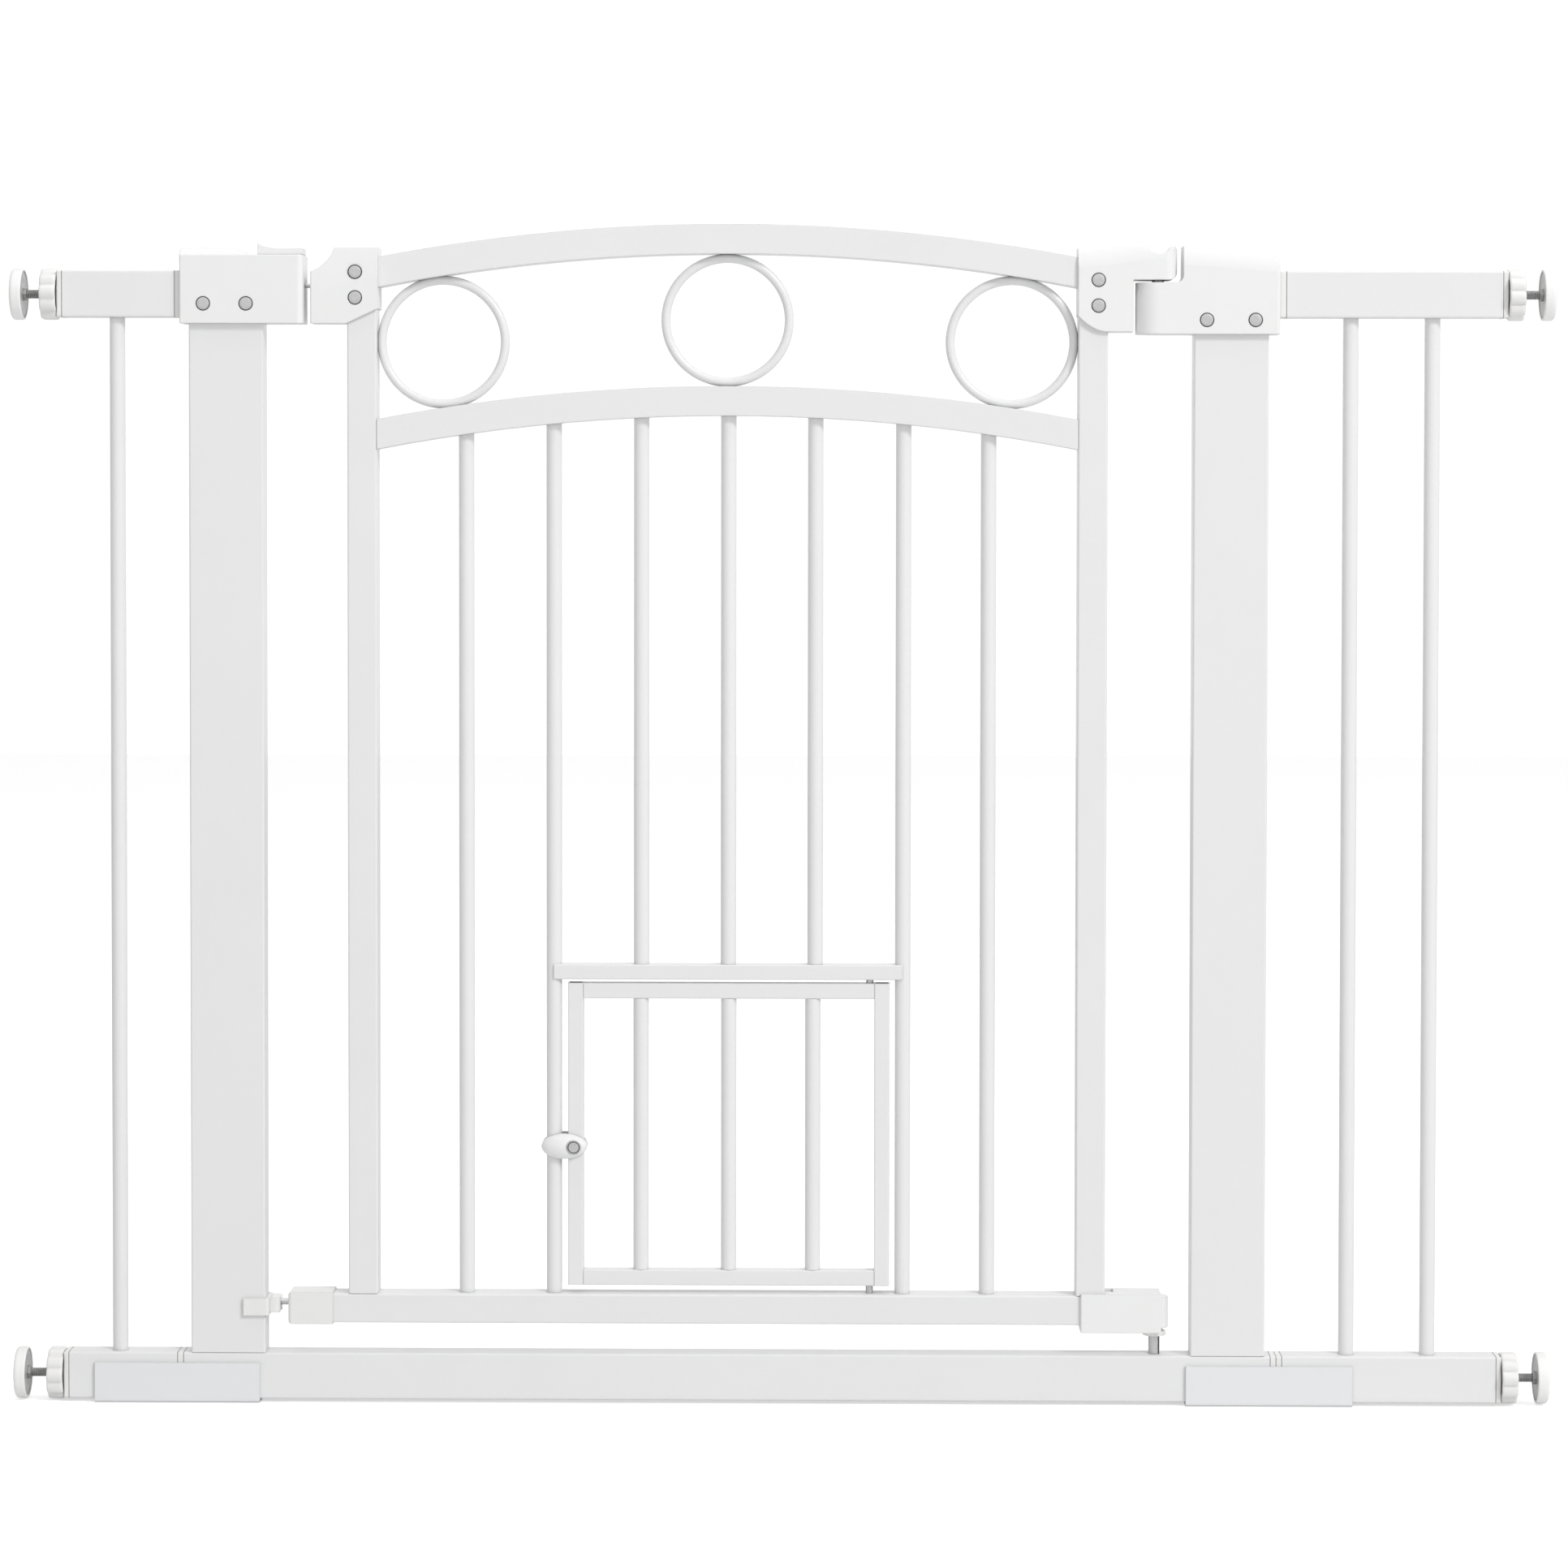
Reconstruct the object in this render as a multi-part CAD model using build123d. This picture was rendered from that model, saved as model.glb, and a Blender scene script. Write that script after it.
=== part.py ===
"""Pressure-held pet gate with a swing leaf, a small pet door and two width extensions.

Frame: X across the opening, +Y away from the room side, +Z up.
The origin is at the middle of the footprint, on the floor. Millimetres.
"""
import os
from math import atan2, cos, degrees, radians, sin, sqrt

from build123d import *

os.makedirs("parts", exist_ok=True)

# ---- driving dimensions -------------------------------------------------
HALF_WIDTH = 496.5            # pad face to the middle of the gate
TOTAL_HEIGHT = 762.0          # floor to the crown of the upper arch

TUBE_DEPTH = 20.0             # front to back of every steel tube
WALL = 1.2                    # tube wall
EDGE_R = 1.2                  # outside corner radius of the tubes
BAR_R = 5.0                   # upright bars
BAR_WALL = 1.0

FOOT_T = 2.3                  # foot plate under the base rail
RAIL_H = 30.0                 # base rail and extension tubes
RAIL_Z0 = FOOT_T
RAIL_Z1 = RAIL_Z0 + RAIL_H
UPPER_Z0, UPPER_Z1 = 702.0, 732.0      # upper extension tubes
BASE_X0, BASE_X1 = -386.5, 316.6       # base rail
COLLAR = 3.7                           # visible collar of a tube connector

POST_W = 48.0
LEFT_POST_X0 = -381.4
RIGHT_POST_X0 = 264.9
LEFT_POST_TOP = 716.5                  # stops under the bolt and its spring
RIGHT_POST_TOP = 734.0

LEFT_TUBE_X1 = BASE_X0 - COLLAR - 0.2          # inner ends of the left extension
RIGHT_TUBE_X0 = BASE_X1 + 2 * COLLAR           # inner ends of the right extension
LEFT_BAR_X = [-428.8]
RIGHT_BAR_X = [366.3, 418.7]
FOOT_PLATES = {"left_foot_plate": (-444.0, -337.0), "right_foot_plate": (262.0, 369.5)}

# gate leaf
LEAF_X0, LEAF_X1 = -279.3, 209.8       # outer faces of the two stiles
STILE_W = 19.0
LEAF_MID = (LEAF_X0 + LEAF_X1) / 2
LEAF_RAIL_Z0, LEAF_RAIL_Z1 = 52.0, 71.0
ARCH_R = 1200.0                        # outer radius of both arches
ARCH_H = 19.0
ARCH_DROP = 104.0                      # lower arch below the upper one
STILE_TOP = 741.0
LEAF_BAR_X = [-203.2, -146.6, -90.1, -33.9, 22.2, 78.9, 133.6]
RING_R = 42.7                          # outside radius of a ring
RING_WIRE_R = 2.9

# pet door
HEADER_Z0, HEADER_Z1 = 275.0, 284.6
DOOR_X0, DOOR_X1 = -137.5, 70.6
DOOR_Z0, DOOR_Z1 = 76.2, 272.5
DOOR_TUBE = 10.0
DOOR_AXIS_X = 57.7
DOOR_PIN_R = 2.4
DOOR_BAR_X = [-90.4, -33.6, 20.8]
TURN_X, TURN_Z = -133.5, 166.6         # axle of the turn latch

# hinge line of the leaf
HINGE_X = 242.2
PIN_R = 3.7
RUN = 0.06                             # radial clearance of a running fit

# moulded parts
COVER_Y = 13.0                         # half depth of the covers on the leaf
HOUSING_Y = 15.0                       # half depth of the latch housing
KNUCKLE_R = 14.5                       # half depth of the hinge housing
SKIN = 3.0                             # wall of the mouldings
RIVET_R = 4.6
RIVET_SHANK_R = 3.0
RIVET_PROUD = 0.5

LATCH_X0, LATCH_X1 = -386.6, -307.2
LATCH_Z0, LATCH_Z1 = 698.0, 742.0
BOLT_Z = 722.5
BOLT_R = 1.4
SLIDE_TRAVEL = 8.0

# adjusters
CAP_T = 3.4
WHEEL_T = 10.2
WHEEL_R = 17.0
WHEEL_LOBES, WHEEL_GROOVE_R = 10, 3.4
SPINDLE_R = 3.05
PAD_R = 16.6
PAD_T = 7.6
DISC_R = 15.2
CORNERS = {                            # name: (side, axis height, outer end of the tube)
    "upper_left": (-1, 717.0, 463.2),
    "lower_left": (-1, 17.3, 461.0),
    "upper_right": (1, 717.0, 462.8),
    "lower_right": (1, 17.3, 462.2),
}

# latch housing, slider and bolt
HUMP_Z = 746.4
HUMP_FLAT_X, HUMP_END_X = -353.0, -339.5
HUMP_MID = (-346.5, 744.2)
HUMP_LEAN = 5.0                        # its front and back lean inwards
LATCH_RIVETS = [(-371.4, 710.6), (-343.9, 710.6)]
SLIDER_X0, SLIDER_X1 = -337.0, -308.0
SLIDER_Y = 8.6
SLIDER_TIP_Z, SLIDER_END_Z = 749.3, 746.2
SLIDER_HOLLOW = [(-330.5, 746.7), (-322.0, 745.9)]
BOLT_NOSE_X = -296.6
FOOT_X0, FOOT_X1 = -330.0, -318.0      # slider foot inside the housing
FOOT_Y = 4.0
SPRING_X0 = -352.0                     # fixed end of the bolt spring

# lower latch: fork on the post, cap and pin on the leaf
CLIP_X0, CLIP_X1 = -347.4, -324.2
CLIP_Z0, CLIP_Z1 = 56.8, 67.9
LATCH_PIN_R = 2.1
LATCH_PIN_Z = 64.0
LATCH_PIN_TIP_X = -328.6

# hinge housing
HINGE_HOUSING_X1 = 319.7
TALL_X0 = 257.8
KNUCKLE_Z0, KNUCKLE_Z1 = 691.5, 724.6
CROWN_Z = 747.8
CROWN_FLAT_X = 272.0
CROWN_R = 157.0                        # the crown falls away to the right in this arc
CROWN_CORNER_R = 4.2
CONCAVE_R = 4.5
HOUSING_HOLLOW_X0, HOUSING_HOLLOW_Z1 = 262.0, 735.0
HOUSING_CREASE = ((257.8, 736.0), (319.7, 731.0))
HOUSING_LEAN_R, HOUSING_LEAN = 30.0, 4.0
HINGE_RIVETS = [(272.7, 700.5), (303.8, 700.5)]
TOP_PIN_R = 4.0
HEX_R = 4.0                            # corner radius of the pin's hexagonal head
HEX_H = 13.0
LOWER_PIN_L, LOWER_PIN_IN = 52.0, 20.0 # slit pin: its length and how deep it sits in the rail
CLOSING_SPRING = (6.9, 0.8, 6)         # mean radius, wire radius, turns
BOLT_SPRING = (3.2, 0.45, 7)

# covers on the leaf's top corners
LIFT = 8.0
HEAD_Z0, HEAD_Z1 = 698.0, 746.7
HEAD_X0, HEAD_X1 = -302.8, -259.3
HEAD_FOOT_X, HEAD_FOOT_Z = -279.5, 707.5       # its slanted underside
HEAD_TOP_X, HEAD_HOLLOW, HEAD_NECK_Z = -287.4, (-293.4, 736.8), 731.2
HEAD_CREASE = ((-302.8, 718.5), (-259.3, 727.0))
HEAD_LEAN_R, HEAD_LEAN = 120.0, 1.5
HEAD_RIVETS = [(-273.9, 731.0), (-273.9, 714.5)]
ARM_X0, ARM_X1 = 190.3, 254.0
ARM_TOP, ARM_UNDER, ARM_LOW = 747.3, 726.3, 693.0
ARM_NECK_X = 225.7                     # inner corner of its underside
ARM_BELLY = [(210.0, 693.0), (197.5, 697.0), (190.3, 703.5)]
THUMB_X0, THUMB_X1, THUMB_Z = 235.0, 249.6, 742.9
ARM_CORNER_R, ARM_NOSE_R = 5.0, 8.0
ARM_CREASE = ((190.3, 733.5), (254.0, 741.0))
ARM_LEAN_R, ARM_LEAN = 26.0, 4.0
ARM_RIVETS = [(203.4, 726.1), (203.4, 709.6)]

# lower hinge block and bushing
BLOCK_X0, BLOCK_X1 = 194.0, 246.0
BLOCK_Z0, BLOCK_Z1 = 47.5, 72.4
BLOCK_Y = 12.5
BUSH_Z0 = 44.4
BUSH_R = 5.6
LATCH_CAP_X0, LATCH_CAP_X1 = -318.6, -289.5

# turn latch of the pet door
AXLE_R = 2.4
OVAL_W, OVAL_H, OVAL_T = 29.6, 16.4, 7.0
OVAL_X = -139.9
BUTTON_R = 4.8


# ---- helpers ------------------------------------------------------------
def block(x0, x1, y0, y1, z0, z1):
    return Pos((x0 + x1) / 2, (y0 + y1) / 2, (z0 + z1) / 2) * Box(x1 - x0, y1 - y0, z1 - z0)


def rod(x, y, z, axis, radius, length):
    """Cylinder that starts at the point and runs along +axis."""
    turn = {"x": Rot(0, 90, 0), "y": Rot(-90, 0, 0), "z": Rot(0, 0, 0)}[axis]
    return Pos(x, y, z) * turn * Pos(0, 0, length / 2) * Cylinder(radius, length)


def tube(axis, start, end, a0, a1, wall=WALL, corner=EDGE_R, depth=TUBE_DEPTH):
    """Rectangular tube along x or z. a0, a1 are its limits across, the depth is along y."""
    size, mid, length = a1 - a0, (a0 + a1) / 2, end - start
    section = Rectangle(size, depth)
    section = fillet(section.vertices(), corner)
    hole = Rectangle(size - 2 * wall, depth - 2 * wall)
    body = extrude(section - hole, length)
    if axis == "z":
        return Pos(mid, 0, start) * body
    return Pos(start, 0, mid) * Rot(0, 90, 0) * body


def arch_face(centre_x, crown_z, radius, height, x0, x1):
    """Band of an arch between two upright lines."""
    centre_z = crown_z - radius
    band = Pos(centre_x, centre_z) * (Circle(radius) - Circle(radius - height))
    clip = Pos((x0 + x1) / 2, crown_z - 50) * Rectangle(x1 - x0, 200)
    return band & clip


def upright(face, half_depth):
    """Stand a sketch drawn in x and z upright and give it depth on both sides."""
    return extrude(Plane.XZ * face, half_depth, both=True)


def lean_back(body, crease, radius, lean, half_depth):
    """Round the front and back over, upwards from a crease line given in x and z.

    The rounding starts at the angle lean (degrees) from the upright face.
    """
    (x0, z0), (x1, z1) = crease
    drop, inset = radius * sin(radians(lean)), radius * cos(radians(lean))
    for sign in (-1, 1):
        axis_y = sign * (half_depth - inset)
        y0, y1 = sorted((sign * (half_depth + 1), axis_y))
        waste = block(-20, 100, y0, y1, 0, 0.85 * radius)
        waste -= rod(-30, axis_y, -drop, "x", radius, 140)
        body -= Pos(x0, 0, z0) * Rot(0, -degrees(atan2(z1 - z0, x1 - x0)), 0) * waste
    return body


def save(node, *solids):
    shape = solids[0] if len(solids) == 1 else Compound(children=list(solids))
    shape.label = node
    export_step(shape, f"parts/{node}.step")


# ---- fixed frame --------------------------------------------------------
def frame_tubes():
    base = tube("x", BASE_X0, BASE_X1, RAIL_Z0, RAIL_Z1)
    base -= rod(HINGE_X, 0, RAIL_Z1 - 8, "z", PIN_R, 20)
    save("base_rail", base)
    posts = {
        "left_post": (LEFT_POST_X0, LEFT_POST_TOP, LATCH_RIVETS),
        "right_post": (RIGHT_POST_X0, RIGHT_POST_TOP, HINGE_RIVETS),
    }
    for name, (x0, top, rivets) in posts.items():
        save(name, drilled(tube("z", RAIL_Z1, top, x0, x0 + POST_W), rivets))


def drilled(body, rivets):
    for x, z in rivets:
        body -= rod(x, -TUBE_DEPTH, z, "y", RIVET_SHANK_R, 2 * TUBE_DEPTH)
    return body


def bar(x, z0, z1):
    return rod(x, 0, z0, "z", BAR_R, z1 - z0) - rod(x, 0, z0, "z", BAR_R - BAR_WALL, z1 - z0)


def extensions():
    for side, inner, xs in (("left", LEFT_TUBE_X1, LEFT_BAR_X), ("right", RIGHT_TUBE_X0, RIGHT_BAR_X)):
        for level, z0, z1 in (("upper", UPPER_Z0, UPPER_Z1), ("lower", RAIL_Z0, RAIL_Z1)):
            sign, _, end = CORNERS[f"{level}_{side}"]
            x0, x1 = sorted((inner, sign * end))
            save(f"{side}_{level}_tube", tube("x", x0, x1, z0, z1))
        save(f"{side}_extension_bars" if len(xs) > 1 else f"{side}_extension_bar",
             *[bar(x, RAIL_Z1, UPPER_Z0) for x in xs])


def connector(x0, x1, z0, z1, spigot_left, spigot_right, groove=False):
    """Moulded plug: a collar flush with the tubes and a hollow spigot each side."""
    collar = block(x0, x1, -TUBE_DEPTH / 2, TUBE_DEPTH / 2, z0, z1)
    collar = fillet(collar.edges().filter_by(Axis.X), EDGE_R)
    if groove:
        mid = (x0 + x1) / 2
        ring = block(mid - 0.2, mid + 0.2, -20, 20, z0 - 5, z1 + 5)
        ring -= block(mid - 1, mid + 1, -TUBE_DEPTH / 2 + 0.6, TUBE_DEPTH / 2 - 0.6, z0 + 0.6, z1 - 0.6)
        collar -= ring
    half = TUBE_DEPTH / 2 - WALL
    plug = block(x0 - spigot_left, x1 + spigot_right, -half, half, z0 + WALL, z1 - WALL)
    hollow = block(x0 - spigot_left, x1 + spigot_right, -half + 2, half - 2, z0 + WALL + 2, z1 - WALL - 2)
    return collar + plug - hollow


def connectors():
    left_collar = (LEFT_TUBE_X1, BASE_X0)
    right_collar = (BASE_X1, RIGHT_TUBE_X0)
    save("left_connectors",
         connector(LEFT_TUBE_X1, LATCH_X0, UPPER_Z0, UPPER_Z1, 24, 4.5),
         connector(*left_collar, RAIL_Z0, RAIL_Z1, 24, 24))
    save("right_connectors",
         connector(HINGE_HOUSING_X1, RIGHT_TUBE_X0, UPPER_Z0, UPPER_Z1, 6.5, 24),
         connector(*right_collar, RAIL_Z0, RAIL_Z1, 24, 24, groove=True))


def foot_plate(x0, x1):
    """U-shaped plate hugging the rail; its top edge stops short of the rail's top."""
    t, top = 2.0, RAIL_Z1 - 6.5
    half = TUBE_DEPTH / 2 + t
    shape = block(x0, x1, -half, half, 0, top)
    shape = fillet(shape.edges().filter_by(Axis.X).sort_by(Axis.Z)[:2], 1.5)
    return shape - block(x0 - 1, x1 + 1, -TUBE_DEPTH / 2, TUBE_DEPTH / 2, RAIL_Z0, top + 1)


def foot_plates():
    for name, (x0, x1) in FOOT_PLATES.items():
        save(name, foot_plate(x0, x1))


def rivet(x, z, half_depth):
    shank = rod(x, -half_depth, z, "y", RIVET_SHANK_R, 2 * half_depth)
    for y in (-half_depth - RIVET_PROUD, half_depth - 0.6):
        shank += rod(x, y, z, "y", RIVET_R, RIVET_PROUD + 0.6)
    return shank


def rivet_hole(x, z, half_depth):
    hole = rod(x, -half_depth - 5, z, "y", RIVET_SHANK_R, 2 * half_depth + 10)
    for y in (-half_depth - 5, half_depth - 0.6):
        hole += rod(x, y, z, "y", RIVET_R, 5.6)
    return hole


# ---- latch side ---------------------------------------------------------
def latch_housing():
    body = block(LATCH_X0, LATCH_X1, -HOUSING_Y, HOUSING_Y, LATCH_Z0, LATCH_Z1)
    body = fillet(body.edges().filter_by(Axis.Z).group_by(Axis.X)[-1], 4.0)
    body = fillet(body.edges().filter_by(Axis.Z).group_by(Axis.X)[0], 1.0)
    body = fillet(body.faces().sort_by(Axis.Z)[-1].edges(), 0.8)
    with BuildSketch(Plane.XZ) as side:
        with BuildLine():
            Line((LATCH_X0, LATCH_Z1 - 4), (LATCH_X0, HUMP_Z - 1))
            Line((LATCH_X0, HUMP_Z - 1), (LATCH_X0 + 1, HUMP_Z))
            Line((LATCH_X0 + 1, HUMP_Z), (HUMP_FLAT_X, HUMP_Z))
            Spline([(HUMP_FLAT_X, HUMP_Z), HUMP_MID, (HUMP_END_X, LATCH_Z1)],
                   tangents=[(1, 0), (1, 0)])
            Line((HUMP_END_X, LATCH_Z1), (HUMP_END_X, LATCH_Z1 - 4))
            Line((HUMP_END_X, LATCH_Z1 - 4), (LATCH_X0, LATCH_Z1 - 4))
        make_face()
    hump = extrude(side.sketch, HOUSING_Y - 0.6, both=True)
    for sign in (-1, 1):
        y = sign * (HOUSING_Y - 0.6)
        wedge = Plane.YZ * make_face(Polyline(
            (y, LATCH_Z1 - 0.2), (y - sign * HUMP_LEAN, HUMP_Z + 0.5), (y + sign * 2, HUMP_Z + 0.5),
            (y + sign * 2, LATCH_Z1 - 0.2), close=True))
        hump -= Pos(LATCH_X0 - 5, 0, 0) * extrude(wedge, 60)
    body += hump
    # channel that lets the slider run into the hump
    body -= block(SLIDER_X0 - SLIDE_TRAVEL - 1.5, -330, -SLIDER_Y - 0.8, SLIDER_Y + 0.8,
                  LATCH_Z1, HUMP_Z + 2)
    # hollow with a rib for the spring, the post's way in, the tube stub's way in
    for x0, x1 in ((LATCH_X0 + SKIN, SPRING_X0 - SKIN), (SPRING_X0, LATCH_X1 - SKIN)):
        body -= block(x0, x1, -HOUSING_Y + SKIN, HOUSING_Y - SKIN,
                      LATCH_Z0 + SKIN, LATCH_Z1 - SKIN)
    body -= block(LEFT_POST_X0, LEFT_POST_X0 + POST_W, -TUBE_DEPTH / 2, TUBE_DEPTH / 2,
                  LATCH_Z0 - 1, LEFT_POST_TOP)
    body -= block(LATCH_X0 - 1, LATCH_X0 + SKIN + 1, -TUBE_DEPTH / 2 + WALL, TUBE_DEPTH / 2 - WALL,
                  UPPER_Z0 + WALL, UPPER_Z1 - WALL)
    # slot for the slider's foot and hole for the bolt
    body -= block(FOOT_X0 - SLIDE_TRAVEL - 0.4, FOOT_X1 + 0.4, -FOOT_Y - 0.4, FOOT_Y + 0.4,
                  LATCH_Z1 - SKIN - 1, LATCH_Z1 + 1)
    body -= rod(LATCH_X1 - SKIN - 1, 0, BOLT_Z, "x", BOLT_R + RUN, SKIN + 2)
    for x, z in LATCH_RIVETS:
        body -= rivet_hole(x, z, HOUSING_Y)
    save("latch_housing", body)
    save("latch_housing_rivets", *[rivet(x, z, HOUSING_Y) for x, z in LATCH_RIVETS])


def latch_slider():
    with BuildSketch(Plane.XZ) as side:
        with BuildLine():
            Line((SLIDER_X0, LATCH_Z1 + 0.3), (SLIDER_X0, SLIDER_TIP_Z))
            Spline([(SLIDER_X0, SLIDER_TIP_Z), *SLIDER_HOLLOW, (SLIDER_X1, SLIDER_END_Z)],
                   tangents=[(1, -0.5), (1, 0)])
            Line((SLIDER_X1, SLIDER_END_Z), (SLIDER_X1, LATCH_Z1 + 0.3))
            Line((SLIDER_X1, LATCH_Z1 + 0.3), (SLIDER_X0, LATCH_Z1 + 0.3))
        make_face()
    body = extrude(side.sketch, SLIDER_Y, both=True)
    body += block(FOOT_X0, FOOT_X1, -FOOT_Y, FOOT_Y, BOLT_Z - 5, LATCH_Z1 + 0.5)
    body -= rod(FOOT_X0 + 4, 0, BOLT_Z, "x", BOLT_R, 20)
    save("latch_slider", body)
    save("latch_bolt", rod(FOOT_X0 + 4, 0, BOLT_Z, "x", BOLT_R, BOLT_NOSE_X - FOOT_X0 - 4))
    save("latch_spring", coil("x", SPRING_X0, FOOT_X0 - SPRING_X0, (0, BOLT_Z), *BOLT_SPRING))


def coil(axis, start, length, centre, mean_r, wire_r, turns):
    """Helical spring with a little room at both ends."""
    span = length - 2 * wire_r - 0.2
    path = Helix(span / turns, span, mean_r)
    wire = sweep(Plane(origin=path @ 0, z_dir=path % 0) * Circle(wire_r), path=path, is_frenet=True)
    if axis == "z":
        return Pos(centre[0], centre[1], start + wire_r + 0.1) * wire
    return Pos(start + wire_r + 0.1, centre[0], centre[1]) * Rot(0, 90, 0) * wire


def lower_latch_clip():
    """Saddle round the post with a fork that holds the leaf's pin, open upwards."""
    post_x1 = LEFT_POST_X0 + POST_W
    outer_y = TUBE_DEPTH / 2 + 2.4
    saddle = block(CLIP_X0, post_x1 + 2.6, -outer_y, outer_y, CLIP_Z0, CLIP_Z1)
    saddle -= block(CLIP_X0 - 1, post_x1, -TUBE_DEPTH / 2, TUBE_DEPTH / 2, CLIP_Z0 - 1, CLIP_Z1 + 1)
    saddle = fillet(saddle.edges().filter_by(Axis.Z).group_by(Axis.X)[-1], 2.4)
    gap = LATCH_PIN_R + 0.5
    fork = block(post_x1 + 2.0, CLIP_X1, -8.0, 8.0, CLIP_Z0 + 1.2, CLIP_Z1)
    fork = fillet(fork.edges().filter_by(Axis.Z).group_by(Axis.X)[-1], 3.0)
    fork -= block(post_x1 + 2.6, CLIP_X1 + 1, -gap, gap, LATCH_PIN_Z - LATCH_PIN_R - 0.3, CLIP_Z1 + 1)
    fork -= block(post_x1 + 2.6, CLIP_X1 + 1, -gap, gap, CLIP_Z0, CLIP_Z0 + 3.4)
    for sign in (-1, 1):                   # lead-in at the mouth
        lead = Plane.YZ * make_face(Polyline(
            (sign * gap, CLIP_Z1 - 2.5), (sign * (gap + 2.0), CLIP_Z1 + 0.01),
            (sign * gap, CLIP_Z1 + 0.01), close=True))
        fork -= Pos(post_x1 + 2.6, 0, 0) * extrude(lead, 20)
    save("lower_latch_clip", saddle + fork)


# ---- hinge side ---------------------------------------------------------
def hinge_housing():
    left = HINGE_X - KNUCKLE_R
    crown_end = CROWN_Z - CROWN_R + sqrt(CROWN_R ** 2 - (HINGE_HOUSING_X1 - CROWN_FLAT_X) ** 2)
    with BuildSketch(Plane.XZ) as side:
        with BuildLine():
            Line((left, KNUCKLE_Z0), (left, KNUCKLE_Z1))
            Line((left, KNUCKLE_Z1), (TALL_X0 - CONCAVE_R, KNUCKLE_Z1))
            RadiusArc((TALL_X0 - CONCAVE_R, KNUCKLE_Z1), (TALL_X0, KNUCKLE_Z1 + CONCAVE_R), -CONCAVE_R)
            Line((TALL_X0, KNUCKLE_Z1 + CONCAVE_R), (TALL_X0, CROWN_Z))
            Line((TALL_X0, CROWN_Z), (CROWN_FLAT_X, CROWN_Z))
            RadiusArc((CROWN_FLAT_X, CROWN_Z), (HINGE_HOUSING_X1, crown_end), CROWN_R)
            Line((HINGE_HOUSING_X1, crown_end), (HINGE_HOUSING_X1, KNUCKLE_Z0))
            Line((HINGE_HOUSING_X1, KNUCKLE_Z0), (left, KNUCKLE_Z0))
        make_face()
        top = vertices().filter_by(lambda v: v.Y > HOUSING_HOLLOW_Z1).sort_by(Axis.X)
        fillet(top[-1], CROWN_CORNER_R)
        fillet(top[0], 1.5)
    body = extrude(side.sketch, KNUCKLE_R, both=True)
    body = lean_back(body, HOUSING_CREASE, HOUSING_LEAN_R, HOUSING_LEAN, KNUCKLE_R)
    plan = block(HINGE_X, HINGE_HOUSING_X1, -KNUCKLE_R, KNUCKLE_R, 680, 760)
    plan = fillet(plan.edges().filter_by(Axis.Z).group_by(Axis.X)[-1], 2.0)
    plan += rod(HINGE_X, 0, 680, "z", KNUCKLE_R, 80)
    body &= plan
    # hollow behind the knuckle, with the ways in for the post and the tube stub
    body -= block(HOUSING_HOLLOW_X0, HINGE_HOUSING_X1 - SKIN, -KNUCKLE_R + SKIN, KNUCKLE_R - SKIN,
                  KNUCKLE_Z0 + SKIN, HOUSING_HOLLOW_Z1)
    body -= block(RIGHT_POST_X0, RIGHT_POST_X0 + POST_W, -TUBE_DEPTH / 2, TUBE_DEPTH / 2,
                  KNUCKLE_Z0 - 1, KNUCKLE_Z0 + SKIN + 1)
    body -= block(HINGE_HOUSING_X1 - SKIN - 1, HINGE_HOUSING_X1 + 1, -TUBE_DEPTH / 2 + WALL,
                  TUBE_DEPTH / 2 - WALL, UPPER_Z0 + WALL, UPPER_Z1 - WALL)
    # bore for the hinge pin and the spring's pocket
    body -= rod(HINGE_X, 0, KNUCKLE_Z0 + 3.0, "z", TOP_PIN_R + RUN, 40)
    body -= rod(HINGE_X, 0, KNUCKLE_Z0 + 6.0, "z", 9.0, 20)
    for x, z in HINGE_RIVETS:
        body -= rivet_hole(x, z, KNUCKLE_R)
    save("hinge_housing", body)
    save("hinge_housing_rivets", *[rivet(x, z, KNUCKLE_R) for x, z in HINGE_RIVETS])


def hinge_pins():
    """Keyed pin of the upper knuckle, its closing spring, and the slit pin in the base rail."""
    foot = KNUCKLE_Z0 + 3.2
    pin = rod(HINGE_X, 0, foot, "z", TOP_PIN_R, KNUCKLE_Z1 + 0.9 - foot)
    head = Pos(HINGE_X, 0, KNUCKLE_Z1 + 0.9) * extrude(RegularPolygon(HEX_R, 6), HEX_H)
    save("upper_hinge_pin", pin + head)
    save("closing_spring", coil("z", KNUCKLE_Z0 + 6.2, 19.4, (HINGE_X, 0), *CLOSING_SPRING))
    z0 = RAIL_Z1 - LOWER_PIN_IN
    lower = rod(HINGE_X, 0, z0, "z", PIN_R, LOWER_PIN_L)
    lower -= rod(HINGE_X, 0, z0, "z", PIN_R - 1.0, LOWER_PIN_L)
    slit = block(-0.6, 0.6, -PIN_R - 1, 0, z0 - 5, z0 + LOWER_PIN_L + 5)
    lower -= Pos(HINGE_X, 0, 0) * Rot(0, 0, 50) * slit
    save("lower_hinge_pin", lower)


# ---- gate leaf ----------------------------------------------------------
def arch(crown_z, x0, x1, shrink=0.0):
    face = arch_face(LEAF_MID, crown_z - shrink, ARCH_R - shrink, ARCH_H - 2 * shrink, x0, x1)
    return upright(face, TUBE_DEPTH / 2 - shrink)


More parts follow.
